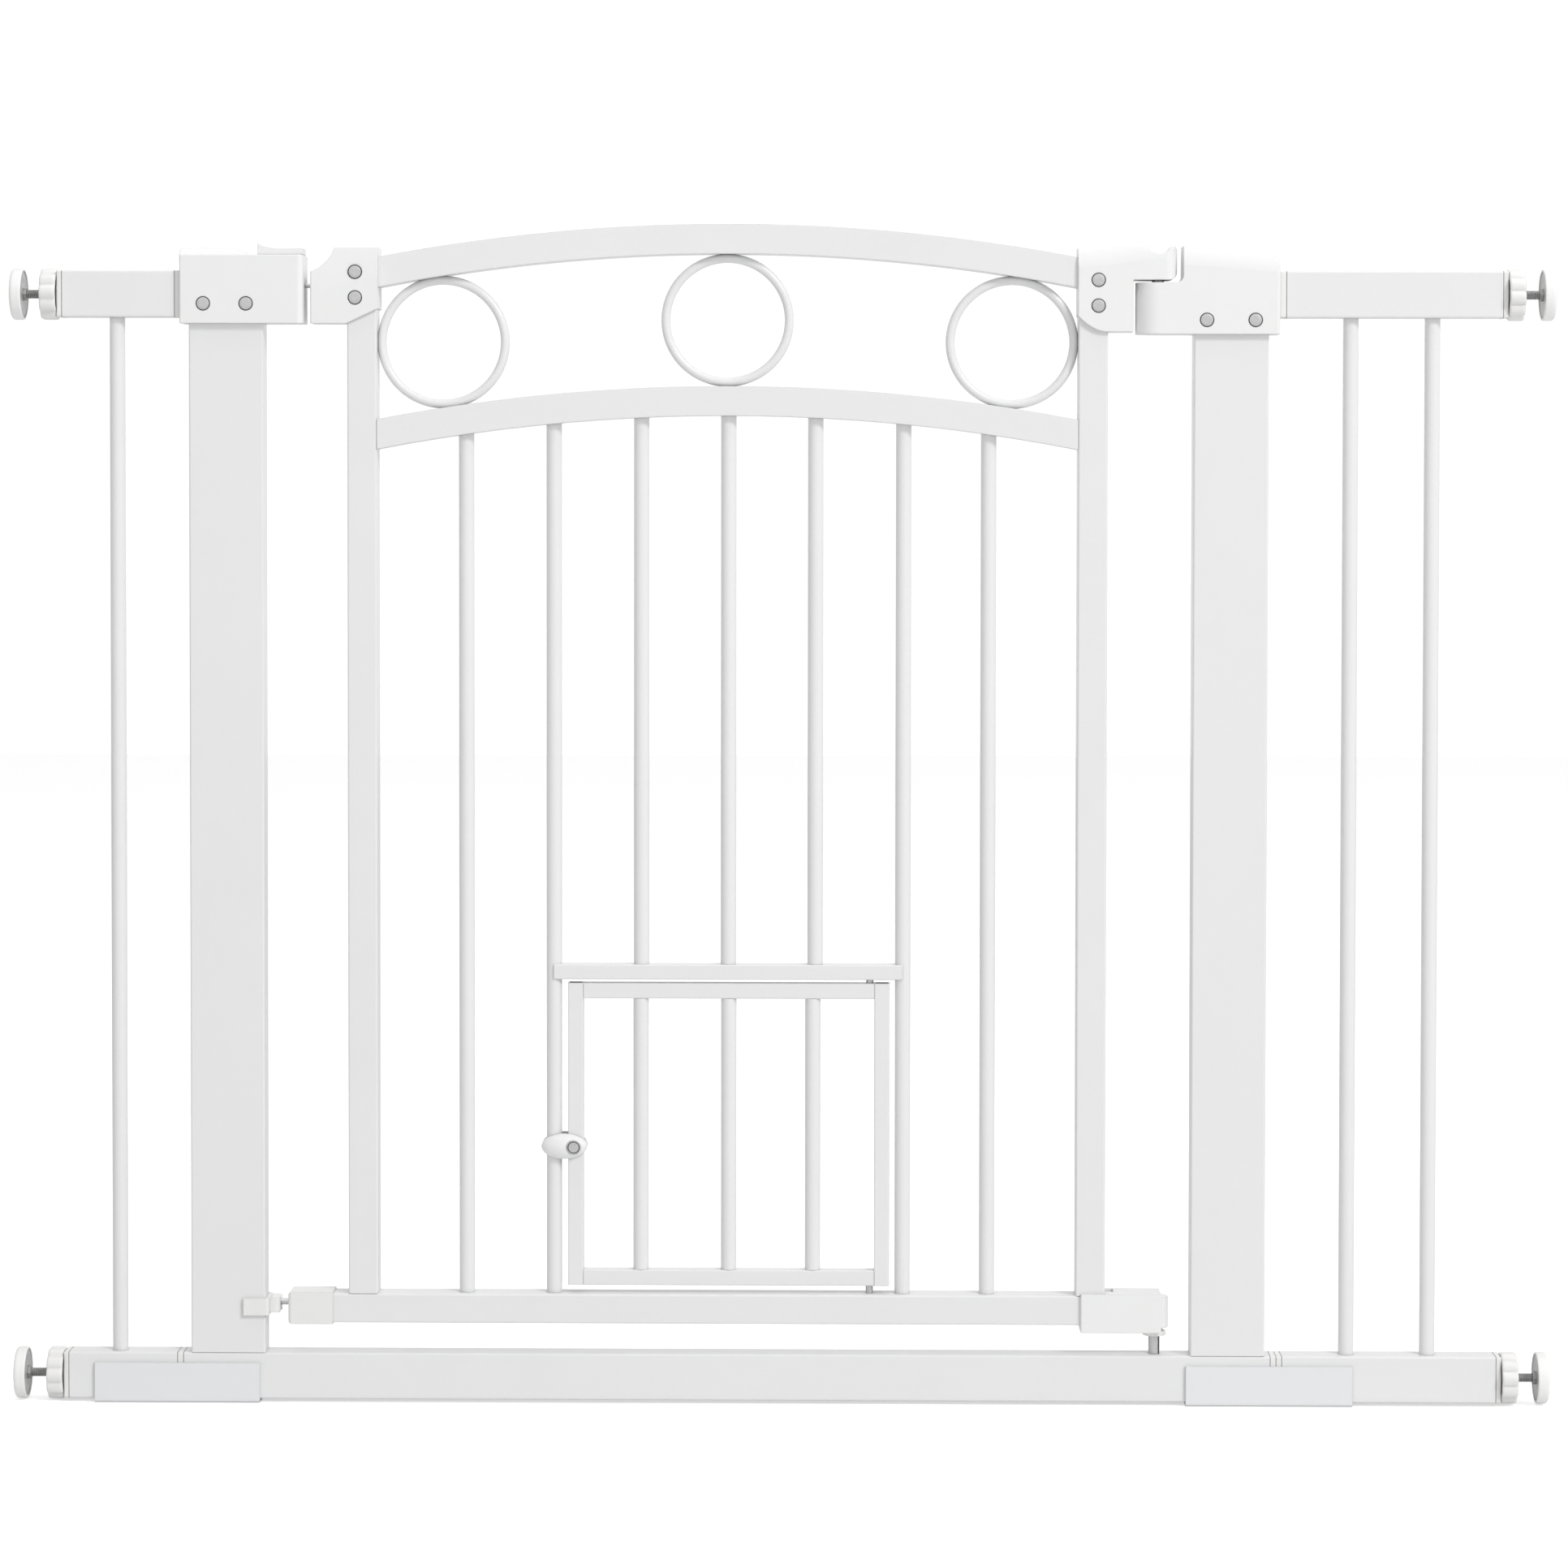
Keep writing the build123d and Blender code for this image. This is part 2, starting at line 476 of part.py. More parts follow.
def leaf_frame():
    inner_x0, inner_x1 = LEAF_X0 + STILE_W, LEAF_X1 - STILE_W
    save("latch_stile", drilled(tube("z", LEAF_RAIL_Z1, STILE_TOP, LEAF_X0, inner_x0), HEAD_RIVETS))
    save("hinge_stile", drilled(tube("z", LEAF_RAIL_Z1, STILE_TOP, inner_x1, LEAF_X1), ARM_RIVETS))
    rail = tube("x", LATCH_CAP_X1 - 22, BLOCK_X0 + 32, LEAF_RAIL_Z0, LEAF_RAIL_Z1)
    rail -= rod(DOOR_AXIS_X, 0, LEAF_RAIL_Z1 - 4, "z", DOOR_PIN_R + RUN, 8)
    save("bottom_rail", rail)
    crowns = {"upper_arch": TOTAL_HEIGHT, "lower_arch": TOTAL_HEIGHT - ARCH_DROP}
    solids = {}
    for name, crown in crowns.items():
        solids[name] = arch(crown, inner_x0, inner_x1)
        save(name, solids[name] - arch(crown, inner_x0 - 1, inner_x1 + 1, WALL))
    # bars up to the underside of the lower arch
    under_r = ARCH_R - ARCH_H
    under = Pos(LEAF_MID, 0, crowns["lower_arch"] - ARCH_R) * Rot(90, 0, 0) * Cylinder(under_r, 60)
    bars = []
    for i, x in enumerate(LEAF_BAR_X):
        foot = HEADER_Z1 if 2 <= i <= 4 else LEAF_RAIL_Z1
        bars.append(bar(x, foot, crowns["lower_arch"]) & under)
    save("leaf_bars", *bars)
    # rings welded between the arches, the outer two also to the stiles
    reach = (inner_x1 - inner_x0) / 2 - RING_R + 0.3
    rings = []
    for dx in (-reach, 0, reach):
        ceiling = crowns["upper_arch"] - ARCH_R + sqrt(under_r ** 2 - dx ** 2)
        floor = crowns["lower_arch"] - ARCH_R + sqrt(ARCH_R ** 2 - dx ** 2)
        z = (ceiling + floor) / 2
        ring = Pos(LEAF_MID + dx, 0, z) * Rot(90, 0, 0) * Torus(RING_R - RING_WIRE_R, RING_WIRE_R)
        ring = ring - solids["upper_arch"] - solids["lower_arch"]
        ring -= block(inner_x0 - 20, inner_x0, -10, 10, 600, 760)
        ring -= block(inner_x1, inner_x1 + 20, -10, 10, 600, 760)
        rings.append(ring)
    save("rings", *rings)
    # header tube over the pet door, coped round the two bars it meets
    x0, x1 = LEAF_BAR_X[1], LEAF_BAR_X[5]
    header = block(x0, x1, -6.2, 6.2, HEADER_Z0, HEADER_Z1)
    header = fillet(header.edges().filter_by(Axis.X), 0.8)
    header -= block(x0 - 1, x1 + 1, -5.2, 5.2, HEADER_Z0 + 1, HEADER_Z1 - 1)
    for x in (x0, x1):
        header -= rod(x, 0, HEADER_Z0 - 5, "z", BAR_R, 20)
    header -= rod(DOOR_AXIS_X, 0, HEADER_Z0 - 2, "z", DOOR_PIN_R + RUN, 5)
    save("pet_door_header", header)


def latch_head():
    with BuildSketch(Plane.XZ) as side:
        with BuildLine():
            Line((HEAD_X0, HEAD_Z0), (HEAD_FOOT_X, HEAD_Z0))
            Line((HEAD_FOOT_X, HEAD_Z0), (HEAD_X1, HEAD_FOOT_Z))
            Line((HEAD_X1, HEAD_FOOT_Z), (HEAD_X1, HEAD_Z1))
            Line((HEAD_X1, HEAD_Z1), (HEAD_TOP_X, HEAD_Z1))
            ThreePointArc((HEAD_TOP_X, HEAD_Z1), HEAD_HOLLOW, (HEAD_X0, HEAD_NECK_Z))
            Line((HEAD_X0, HEAD_NECK_Z), (HEAD_X0, HEAD_Z0))
        make_face()
    body = extrude(side.sketch, COVER_Y, both=True)
    body = lean_back(body, HEAD_CREASE, HEAD_LEAN_R, HEAD_LEAN, COVER_Y)
    body = fillet(body.edges().filter_by(Axis.Z).group_by(Axis.X)[0], 1.2)
    body -= stile_socket(LEAF_X0, STILE_TOP)
    body -= arch(TOTAL_HEIGHT, LEAF_X0 + STILE_W, HEAD_X1 + 5)
    # slot that takes the bolt and lets the leaf rise
    body -= block(HEAD_X0 - 1, HEAD_X0 + 8.5, -1.9, 1.9, BOLT_Z - LIFT - 2.0, BOLT_Z + 1.9)
    for x, z in HEAD_RIVETS:
        body -= rivet_hole(x, z, COVER_Y)
    save("latch_head", body)


def stile_socket(x0, top):
    return block(x0, x0 + STILE_W, -TUBE_DEPTH / 2, TUBE_DEPTH / 2, 600, top)


def hinge_arm():
    belly, flank, side_end = ARM_BELLY
    with BuildSketch(Plane.XZ) as side:
        with BuildLine():
            Line(side_end, (ARM_X0, ARM_TOP - 0.8))
            Line((ARM_X0, ARM_TOP - 0.8), (ARM_X0 + 0.8, ARM_TOP))
            Line((ARM_X0 + 0.8, ARM_TOP), (THUMB_X0, ARM_TOP))
            ThreePointArc((THUMB_X0, ARM_TOP), ((THUMB_X0 + THUMB_X1) / 2, THUMB_Z),
                          (THUMB_X1, ARM_TOP))
            Line((THUMB_X1, ARM_TOP), (ARM_X1 - 1.2, ARM_TOP))
            Line((ARM_X1 - 1.2, ARM_TOP), (ARM_X1, ARM_TOP - 1.6))
            Line((ARM_X1, ARM_TOP - 1.6), (ARM_X1, ARM_UNDER + ARM_CORNER_R))
            RadiusArc((ARM_X1, ARM_UNDER + ARM_CORNER_R), (ARM_X1 - ARM_CORNER_R, ARM_UNDER), ARM_CORNER_R)
            Line((ARM_X1 - ARM_CORNER_R, ARM_UNDER), (ARM_NECK_X, ARM_UNDER))
            Line((ARM_NECK_X, ARM_UNDER), (ARM_NECK_X, ARM_LOW))
            Line((ARM_NECK_X, ARM_LOW), belly)
            Spline([belly, flank, side_end], tangents=[(-1, 0), (-1, 1.2)])
        make_face()
    body = extrude(side.sketch, COVER_Y, both=True)
    body = lean_back(body, ARM_CREASE, ARM_LEAN_R, ARM_LEAN, COVER_Y)
    plan = block(ARM_X0, ARM_X1, -COVER_Y, COVER_Y, 680, 760)
    plan = fillet(plan.edges().filter_by(Axis.Z).group_by(Axis.X)[-1], ARM_NOSE_R)
    plan = fillet(plan.edges().filter_by(Axis.Z).group_by(Axis.X)[0], 0.8)
    body &= plan
    body -= stile_socket(LEAF_X1 - STILE_W, STILE_TOP)
    body -= arch(TOTAL_HEIGHT, ARM_X0 - 5, LEAF_X1 - STILE_W)
    body -= Pos(HINGE_X, 0, ARM_UNDER - 1) * extrude(RegularPolygon(HEX_R + 0.1, 6), HEX_H + 2.5)
    for x, z in ARM_RIVETS:
        body -= rivet_hole(x, z, COVER_Y)
    save("hinge_arm", body)
    save("leaf_rivets", *[rivet(x, z, COVER_Y) for x, z in HEAD_RIVETS + ARM_RIVETS])


def lower_hinge_block():
    body = block(BLOCK_X0, BLOCK_X1, -BLOCK_Y, BLOCK_Y, BLOCK_Z0, BLOCK_Z1)
    body = fillet(body.edges().filter_by(Axis.Z), 1.2)
    body += rod(HINGE_X, 0, BLOCK_Z0 + 2.4, "z", 9.0, BLOCK_Z1 - BLOCK_Z0 - 5.0)
    rail_y = TUBE_DEPTH / 2
    body -= block(BLOCK_X0 - 1, BLOCK_X0 + 32, -rail_y, rail_y, LEAF_RAIL_Z0, LEAF_RAIL_Z1)
    body -= block(BLOCK_X0 - 1, LEAF_X1, -rail_y, rail_y, LEAF_RAIL_Z1 - 1, BLOCK_Z1 + 1)
    body -= block(LEAF_X1 - 1, LEAF_X1 + 6, -2, rail_y, LEAF_RAIL_Z1 - 1, BLOCK_Z1 + 1)
    body -= rod(HINGE_X, 0, BLOCK_Z0 - 1, "z", BUSH_R, 12)
    body -= rod(HINGE_X, 0, BLOCK_Z0, "z", PIN_R + RUN, 19)
    save("lower_hinge_block", body)
    flange = extrude(RegularPolygon(6.9, 8, major_radius=False), BLOCK_Z0 - BUSH_Z0)
    bush = Pos(HINGE_X, 0, BUSH_Z0) * flange + rod(HINGE_X, 0, BLOCK_Z0, "z", BUSH_R, 11)
    save("lower_hinge_bushing", bush - rod(HINGE_X, 0, BUSH_Z0 - 1, "z", PIN_R + RUN, 20))


def lower_latch_cap():
    z0, z1 = LEAF_RAIL_Z0 - 0.8, LEAF_RAIL_Z1 + 1.0
    half = TUBE_DEPTH / 2 + 1.0
    body = block(LATCH_CAP_X0, LATCH_CAP_X1, -half, half, z0, z1)
    ends = body.faces().sort_by(Axis.X)[0].edges()
    body = fillet(ends, 2.5)
    body -= block(LATCH_CAP_X1 - 22, LATCH_CAP_X1 + 1, -TUBE_DEPTH / 2, TUBE_DEPTH / 2,
                  LEAF_RAIL_Z0, LEAF_RAIL_Z1)
    body -= rod(LATCH_CAP_X0 - 1, 0, LATCH_PIN_Z, "x", LATCH_PIN_R, 20)
    save("lower_latch_cap", body)
    tip = LATCH_PIN_TIP_X
    pin = rod(tip, 0, LATCH_PIN_Z, "x", LATCH_PIN_R, LATCH_CAP_X0 + 10 - tip)
    save("lower_latch_pin", chamfer(pin.edges().sort_by(Axis.X)[0], 0.5))


# ---- pet door -----------------------------------------------------------
def pet_door():
    half = DOOR_TUBE / 2
    stiles = []
    for x0 in (DOOR_X0, DOOR_X1 - DOOR_TUBE):
        stiles.append(tube("z", DOOR_Z0, DOOR_Z1, x0, x0 + DOOR_TUBE, 1.0, 0.8, DOOR_TUBE))
    stiles[0] -= rod(TURN_X, -20, TURN_Z, "y", AXLE_R + RUN, 40)
    save("pet_door_stiles", *stiles)
    rails = []
    for z0 in (DOOR_Z0, DOOR_Z1 - DOOR_TUBE):
        rail = tube("x", DOOR_X0 + DOOR_TUBE, DOOR_X1 - DOOR_TUBE, z0, z0 + DOOR_TUBE,
                    1.0, 0.8, DOOR_TUBE)
        rails.append(rail - rod(DOOR_AXIS_X, 0, z0 - 1, "z", DOOR_PIN_R, DOOR_TUBE + 2))
    save("pet_door_rails", *rails)
    save("pet_door_bars", *[bar(x, DOOR_Z0 + DOOR_TUBE, DOOR_Z1 - DOOR_TUBE) for x in DOOR_BAR_X])
    save("pet_door_pins",
         rod(DOOR_AXIS_X, 0, LEAF_RAIL_Z1 - 4, "z", DOOR_PIN_R, DOOR_Z0 + DOOR_TUBE - LEAF_RAIL_Z1 + 4),
         rod(DOOR_AXIS_X, 0, DOOR_Z1 - DOOR_TUBE, "z", DOOR_PIN_R, HEADER_Z0 + 4 - DOOR_Z1 + DOOR_TUBE))


def turn_latch():
    """Two ovals on one axle, in front of and behind the door's stile and the leaf's bar."""
    gap = DOOR_TUBE / 2 + 0.35
    oval = Pos(OVAL_X, 0, TURN_Z) * scale(Sphere(1), (OVAL_W / 2, OVAL_T, OVAL_H / 2))
    front = oval & block(-200, -100, -20, 0, 100, 200)
    for name, turn in (("turn_latch_front", 0), ("turn_latch_rear", 180)):
        half_oval = front if turn == 0 else mirror(front, Plane.XZ)
        sign = -1 if turn == 0 else 1
        piece = Pos(0, sign * gap, 0) * half_oval
        piece -= rod(TURN_X, -30, TURN_Z, "y", AXLE_R, 60)
        y_face = sign * (gap + OVAL_T - 1.6)
        y0, y1 = sorted((y_face, y_face + sign * 5))
        piece -= rod(TURN_X, y0, TURN_Z, "y", BUTTON_R, y1 - y0)
        save(name, piece)
    reach = gap + OVAL_T - 1.6
    axle = rod(TURN_X, -reach, TURN_Z, "y", AXLE_R, 2 * reach)
    for y in (-reach - 1.2, reach):
        axle += rod(TURN_X, y, TURN_Z, "y", BUTTON_R - 0.1, 1.2)
    save("turn_latch_axle", axle)


# ---- adjusters ----------------------------------------------------------
def end_cap(sign, z, end):
    """Plug with a flange flush with the tube and a clearance bore for the spindle."""
    height = RAIL_H
    flange = block(end, end + CAP_T, -TUBE_DEPTH / 2, TUBE_DEPTH / 2, -height / 2, height / 2)
    flange = fillet(flange.edges().filter_by(Axis.X), EDGE_R)
    flange = chamfer(flange.faces().sort_by(Axis.X)[-1].edges(), 0.5)
    half_y, half_z = TUBE_DEPTH / 2 - WALL, height / 2 - WALL
    plug = block(end - 20, end, -half_y, half_y, -half_z, half_z)
    plug -= block(end - 21, end - 3, -half_y + 2, half_y - 2, -half_z + 2, half_z - 2)
    cap = flange + plug - rod(end - 10, 0, 0, "x", SPINDLE_R + 0.35, 30)
    return place(cap, sign, z)


def place(shape, sign, z):
    """Parts are drawn for the right side; the left ones are their half-turn about z."""
    if sign < 0:
        shape = Rot(0, 0, 180) * shape
    return Pos(0, 0, z) * shape


def hand_wheel(sign, z, end):
    x0 = end + CAP_T + 0.3
    lobes, groove_r = WHEEL_LOBES, WHEEL_GROOVE_R
    wheel = rod(x0, 0, 0, "x", WHEEL_R, WHEEL_T)
    wheel = fillet(wheel.edges().filter_by(GeomType.CIRCLE), 1.0)
    for i in range(lobes):
        angle = radians(360 / lobes * (i + 0.5))
        reach = WHEEL_R + groove_r * 0.62
        wheel -= rod(x0 - 1, reach * cos(angle), reach * sin(angle), "x", groove_r, WHEEL_T + 2)
    wheel -= rod(x0 - 1, 0, 0, "x", SPINDLE_R + RUN, WHEEL_T + 2)
    return place(wheel, sign, z)


def spindle(sign, z, end):
    """Threaded rod with its hexagonal collar and the disc that sits in the pad."""
    disc_x = HALF_WIDTH - PAD_T + 0.6
    collar_t, disc_t = 2.6, 1.4
    body = rod(end - 34, 0, 0, "x", SPINDLE_R, disc_x - end + 34)
    body += Pos(disc_x - collar_t, 0, 0) * Rot(0, 90, 0) * extrude(RegularPolygon(4.6, 6), collar_t)
    body += rod(disc_x, 0, 0, "x", DISC_R, disc_t)
    return place(body, sign, z)


def pad(sign, z):
    """Rubber cup pressed on the disc; its wall face is slightly rounded at the rim."""
    disc_x, disc_t = HALF_WIDTH - PAD_T + 0.6, 1.4
    cup = rod(HALF_WIDTH - PAD_T, 0, 0, "x", PAD_R, PAD_T)
    cup = fillet(cup.edges().filter_by(GeomType.CIRCLE).sort_by(Axis.X)[-1], 2.0)
    cup = fillet(cup.edges().filter_by(GeomType.CIRCLE).sort_by(Axis.X)[0], 0.6)
    cup -= rod(disc_x, 0, 0, "x", DISC_R, disc_t)
    cup -= rod(HALF_WIDTH - PAD_T - 1, 0, 0, "x", DISC_R - 0.4, disc_x - HALF_WIDTH + PAD_T + 1.1)
    return place(cup, sign, z)


def adjusters():
    save("end_caps", *[end_cap(*corner) for corner in CORNERS.values()])
    for name, (sign, z, end) in CORNERS.items():
        save(f"hand_wheel_{name}", hand_wheel(sign, z, end))
        save(f"spindle_{name}", spindle(sign, z, end))
        save(f"pad_{name}", pad(sign, z))


frame_tubes()
extensions()
connectors()
foot_plates()
latch_housing()
latch_slider()
lower_latch_clip()
hinge_housing()
hinge_pins()
leaf_frame()
latch_head()
hinge_arm()
lower_hinge_block()
lower_latch_cap()
pet_door()
turn_latch()
adjusters()
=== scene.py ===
import math
import bmesh
import bpy
from mathutils import Matrix, Vector


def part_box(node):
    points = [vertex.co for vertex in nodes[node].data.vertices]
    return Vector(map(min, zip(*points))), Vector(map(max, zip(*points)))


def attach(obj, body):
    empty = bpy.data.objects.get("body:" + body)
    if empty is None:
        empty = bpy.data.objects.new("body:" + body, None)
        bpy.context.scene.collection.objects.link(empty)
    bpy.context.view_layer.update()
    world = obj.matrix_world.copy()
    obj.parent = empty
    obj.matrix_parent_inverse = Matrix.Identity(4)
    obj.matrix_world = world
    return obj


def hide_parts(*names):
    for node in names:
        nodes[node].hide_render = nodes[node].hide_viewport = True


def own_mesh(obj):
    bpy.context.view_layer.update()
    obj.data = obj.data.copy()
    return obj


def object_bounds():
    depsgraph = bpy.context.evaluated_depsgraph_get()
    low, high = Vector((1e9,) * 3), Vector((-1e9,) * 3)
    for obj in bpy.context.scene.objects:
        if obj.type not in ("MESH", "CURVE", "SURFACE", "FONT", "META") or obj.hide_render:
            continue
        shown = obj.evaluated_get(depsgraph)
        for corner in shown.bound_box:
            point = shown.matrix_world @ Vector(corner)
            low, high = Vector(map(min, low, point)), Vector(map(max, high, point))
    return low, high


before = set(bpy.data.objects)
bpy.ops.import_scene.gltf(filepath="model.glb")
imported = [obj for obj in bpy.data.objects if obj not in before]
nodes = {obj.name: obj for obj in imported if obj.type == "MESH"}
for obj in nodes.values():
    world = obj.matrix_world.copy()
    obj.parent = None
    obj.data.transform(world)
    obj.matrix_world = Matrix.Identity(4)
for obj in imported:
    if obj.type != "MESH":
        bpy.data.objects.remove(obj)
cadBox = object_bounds()
print("gate frame loaded:", len(nodes), "parts")

mm = 0.001
corners = ("upper_left", "lower_left", "upper_right", "lower_right")


# node helpers: a tree grows left to right, x and y are only its layout
def put(tree, kind, x, y, **settings):
    node = tree.nodes.new(kind)
    node.location = (x, y)
    for name, value in settings.items():
        setattr(node, name, value)
    return node


def math2(tree, operation, x, y, a, b=None, clamp=False):
    node = put(tree, "ShaderNodeMath", x, y, operation=operation, use_clamp=clamp)
    for socket, value in zip(node.inputs, (a, b)):
        if value is None:
            continue
        if isinstance(value, (int, float)):
            socket.default_value = value
        else:
            tree.links.new(value, socket)
    return node.outputs[0]


def newGroup(name, kind, inputs, outputs):
    tree = bpy.data.node_groups.new(name, kind)
    for direction, sockets in (("INPUT", inputs), ("OUTPUT", outputs)):
        for label, socketKind, *value in sockets:
            socket = tree.interface.new_socket(name=label, in_out=direction,
                                               socket_type="NodeSocket" + socketKind)
            if value:
                socket.default_value = value[0]
    return tree, put(tree, "NodeGroupInput", -900, 0), put(tree, "NodeGroupOutput", 900, 0)


# effects shared by the finishes
def makePeelEffect():
    # fine ripple of sprayed and baked powder, with a slow drift in its shade
    tree, given, made = newGroup("powderPeel", "ShaderNodeTree",
                                 [("Position", "Vector"), ("Peel Size", "Float", 0.0012),
                                  ("Drift Size", "Float", 0.06)],
                                 [("Height", "Float"), ("Drift", "Float")])
    for label, sizeName, detail, y in (("Height", "Peel Size", 2.0, 150),
                                       ("Drift", "Drift Size", 3.0, -150)):
        scale = math2(tree, "DIVIDE", -600, y, 1.0, given.outputs[sizeName])
        noise = put(tree, "ShaderNodeTexNoise", -300, y)
        noise.inputs["Detail"].default_value = detail
        tree.links.new(given.outputs["Position"], noise.inputs["Vector"])
        tree.links.new(scale, noise.inputs["Scale"])
        tree.links.new(noise.outputs["Fac"], made.inputs[label])
    return tree


def makeGrainEffect():
    # spark-eroded grain of a moulding tool, with cloudy flow marks
    tree, given, made = newGroup("mouldedGrain", "ShaderNodeTree",
                                 [("Position", "Vector"), ("Grain Size", "Float", 0.0006),
                                  ("Flow Size", "Float", 0.03)],
                                 [("Height", "Float"), ("Flow", "Float")])
    grainScale = math2(tree, "DIVIDE", -600, 150, 1.0, given.outputs["Grain Size"])
    cells = put(tree, "ShaderNodeTexVoronoi", -300, 200, feature="SMOOTH_F1")
    fine = put(tree, "ShaderNodeTexNoise", -300, -50)
    fine.inputs["Detail"].default_value = 2.0
    for node in (cells, fine):
        tree.links.new(given.outputs["Position"], node.inputs["Vector"])
        tree.links.new(grainScale, node.inputs["Scale"])
    height = math2(tree, "ADD", 0, 150, cells.outputs["Distance"], fine.outputs["Fac"])
    tree.links.new(height, made.inputs["Height"])
    flow = put(tree, "ShaderNodeTexNoise", -300, -300)
    flow.inputs["Detail"].default_value = 3.0
    flow.inputs["Distortion"].default_value = 0.8
    tree.links.new(given.outputs["Position"], flow.inputs["Vector"])
    tree.links.new(math2(tree, "DIVIDE", -600, -300, 1.0, given.outputs["Flow Size"]),
                   flow.inputs["Scale"])
    tree.links.new(flow.outputs["Fac"], made.inputs["Flow"])
    return tree


def makeSeamEffect():
    # where parts meet: painted shade that darkens tight corners and seams through an occlusion mask,
    # broken up a little; and dust settled on upward faces
    tree, given, made = newGroup("seamShadeAndTopDust", "ShaderNodeTree",
                                 [("Position", "Vector"), ("Reach", "Float", 0.004),
                                  ("Strength", "Float", 1.0)],
                                 [("Seams", "Float"), ("Top Dust", "Float")])
    # painted shade: an occlusion mask that grows in tight corners, seams and gaps, where shade falls
    near = put(tree, "ShaderNodeAmbientOcclusion", -600, 200, samples=4)
    tree.links.new(given.outputs["Reach"], near.inputs["Distance"])
    closed = math2(tree, "SUBTRACT", -350, 200, 1.0, near.outputs["AO"], clamp=True)
    closed = math2(tree, "POWER", -150, 200, closed, 1.4)
    patches = put(tree, "ShaderNodeTexNoise", -600, -50)
    patches.inputs["Scale"].default_value = 90.0
    patches.inputs["Detail"].default_value = 3.0
    tree.links.new(given.outputs["Position"], patches.inputs["Vector"])
    broken = math2(tree, "MULTIPLY_ADD", -350, 0, patches.outputs["Fac"], 0.5)
    broken.node.inputs[2].default_value = 0.7
    seamShade = math2(tree, "MULTIPLY", 100, 200, closed, broken)
    tree.links.new(math2(tree, "MULTIPLY", 300, 200, seamShade, given.outputs["Strength"], clamp=True),
                   made.inputs["Seams"])
    facing = put(tree, "ShaderNodeNewGeometry", -600, -300)
    parts = put(tree, "ShaderNodeSeparateXYZ", -350, -300)
    tree.links.new(facing.outputs["Normal"], parts.inputs[0])
    upward = put(tree, "ShaderNodeMapRange", -100, -300, interpolation_type="SMOOTHSTEP")
    upward.inputs["From Min"].default_value = 0.75
    tree.links.new(parts.outputs["Z"], upward.inputs["Value"])
    tree.links.new(math2(tree, "MULTIPLY", 150, -300, upward.outputs[0], patches.outputs["Fac"]),
                   made.inputs["Top Dust"])
    return tree


def makeEdgeEffect():
    # an edge eased by the finish, and a lighter band along it that is partly a painted edge highlight and
    # partly rubbed wear
    tree, given, made = newGroup("edgeSheenAndWear", "ShaderNodeTree",
                                 [("Position", "Vector"), ("Edge Width", "Float", 0.0007),
                                  ("Grit Size", "Float", 0.004)],
                                 [("Rub", "Float"), ("Eased Normal", "Vector")])
    eased = put(tree, "ShaderNodeBevel", -600, 200, samples=4)
    tree.links.new(given.outputs["Edge Width"], eased.inputs["Radius"])
    true = put(tree, "ShaderNodeNewGeometry", -600, -50)
    bend = put(tree, "ShaderNodeVectorMath", -350, 100, operation="DOT_PRODUCT")
    tree.links.new(eased.outputs["Normal"], bend.inputs[0])
    tree.links.new(true.outputs["Normal"], bend.inputs[1])
    edge = math2(tree, "SUBTRACT", -150, 100, 1.0, bend.outputs["Value"], clamp=True)
    grit = put(tree, "ShaderNodeTexNoise", -350, -250)
    grit.inputs["Detail"].default_value = 4.0
    tree.links.new(given.outputs["Position"], grit.inputs["Vector"])
    tree.links.new(math2(tree, "DIVIDE", -600, -250, 1.0, given.outputs["Grit Size"]),
                   grit.inputs["Scale"])
    # painted edge highlight and rubbed wear: the eased edge, broken up by grit
    sheenAndRub = math2(tree, "MULTIPLY", 100, 0, math2(tree, "MULTIPLY", -50, 0, edge, 3.0), grit.outputs["Fac"],
                clamp=True)
    tree.links.new(sheenAndRub, made.inputs["Rub"])
    tree.links.new(eased.outputs["Normal"], made.inputs["Eased Normal"])
    return tree


def makeDrawnEffect():
    # drawing and turning lines in plated steel, stretched along one axis
    tree, given, made = newGroup("drawnLines", "ShaderNodeTree",
                                 [("Position", "Vector"), ("Stretch", "Vector", (60.0, 2400.0, 2400.0))],
                                 [("Height", "Float"), ("Streak", "Float")])
    along = put(tree, "ShaderNodeVectorMath", -600, 0, operation="MULTIPLY")
    tree.links.new(given.outputs["Position"], along.inputs[0])
    tree.links.new(given.outputs["Stretch"], along.inputs[1])
    lines = put(tree, "ShaderNodeTexNoise", -350, 0)
    lines.inputs["Scale"].default_value = 1.0
    lines.inputs["Detail"].default_value = 3.0
    tree.links.new(along.outputs[0], lines.inputs["Vector"])
    tree.links.new(lines.outputs["Fac"], made.inputs["Height"])
    soft = put(tree, "ShaderNodeMapRange", -50, -150)
    soft.inputs["From Min"].default_value = 0.3
    soft.inputs["From Max"].default_value = 0.7
    tree.links.new(lines.outputs["Fac"], soft.inputs["Value"])
    tree.links.new(soft.outputs[0], made.inputs["Streak"])
    return tree


peelEffect, grainEffect = makePeelEffect(), makeGrainEffect()
seamEffect, edgeEffect, drawnEffect = makeSeamEffect(), makeEdgeEffect(), makeDrawnEffect()
print("shared effects built")


# finishes
def usePart(tree, effect, x, y, place, **values):
    node = put(tree, "ShaderNodeGroup", x, y, node_tree=effect)
    tree.links.new(place, node.inputs["Position"])
    for label, value in values.items():
        node.inputs[label.replace("_", " ")].default_value = value
    return node


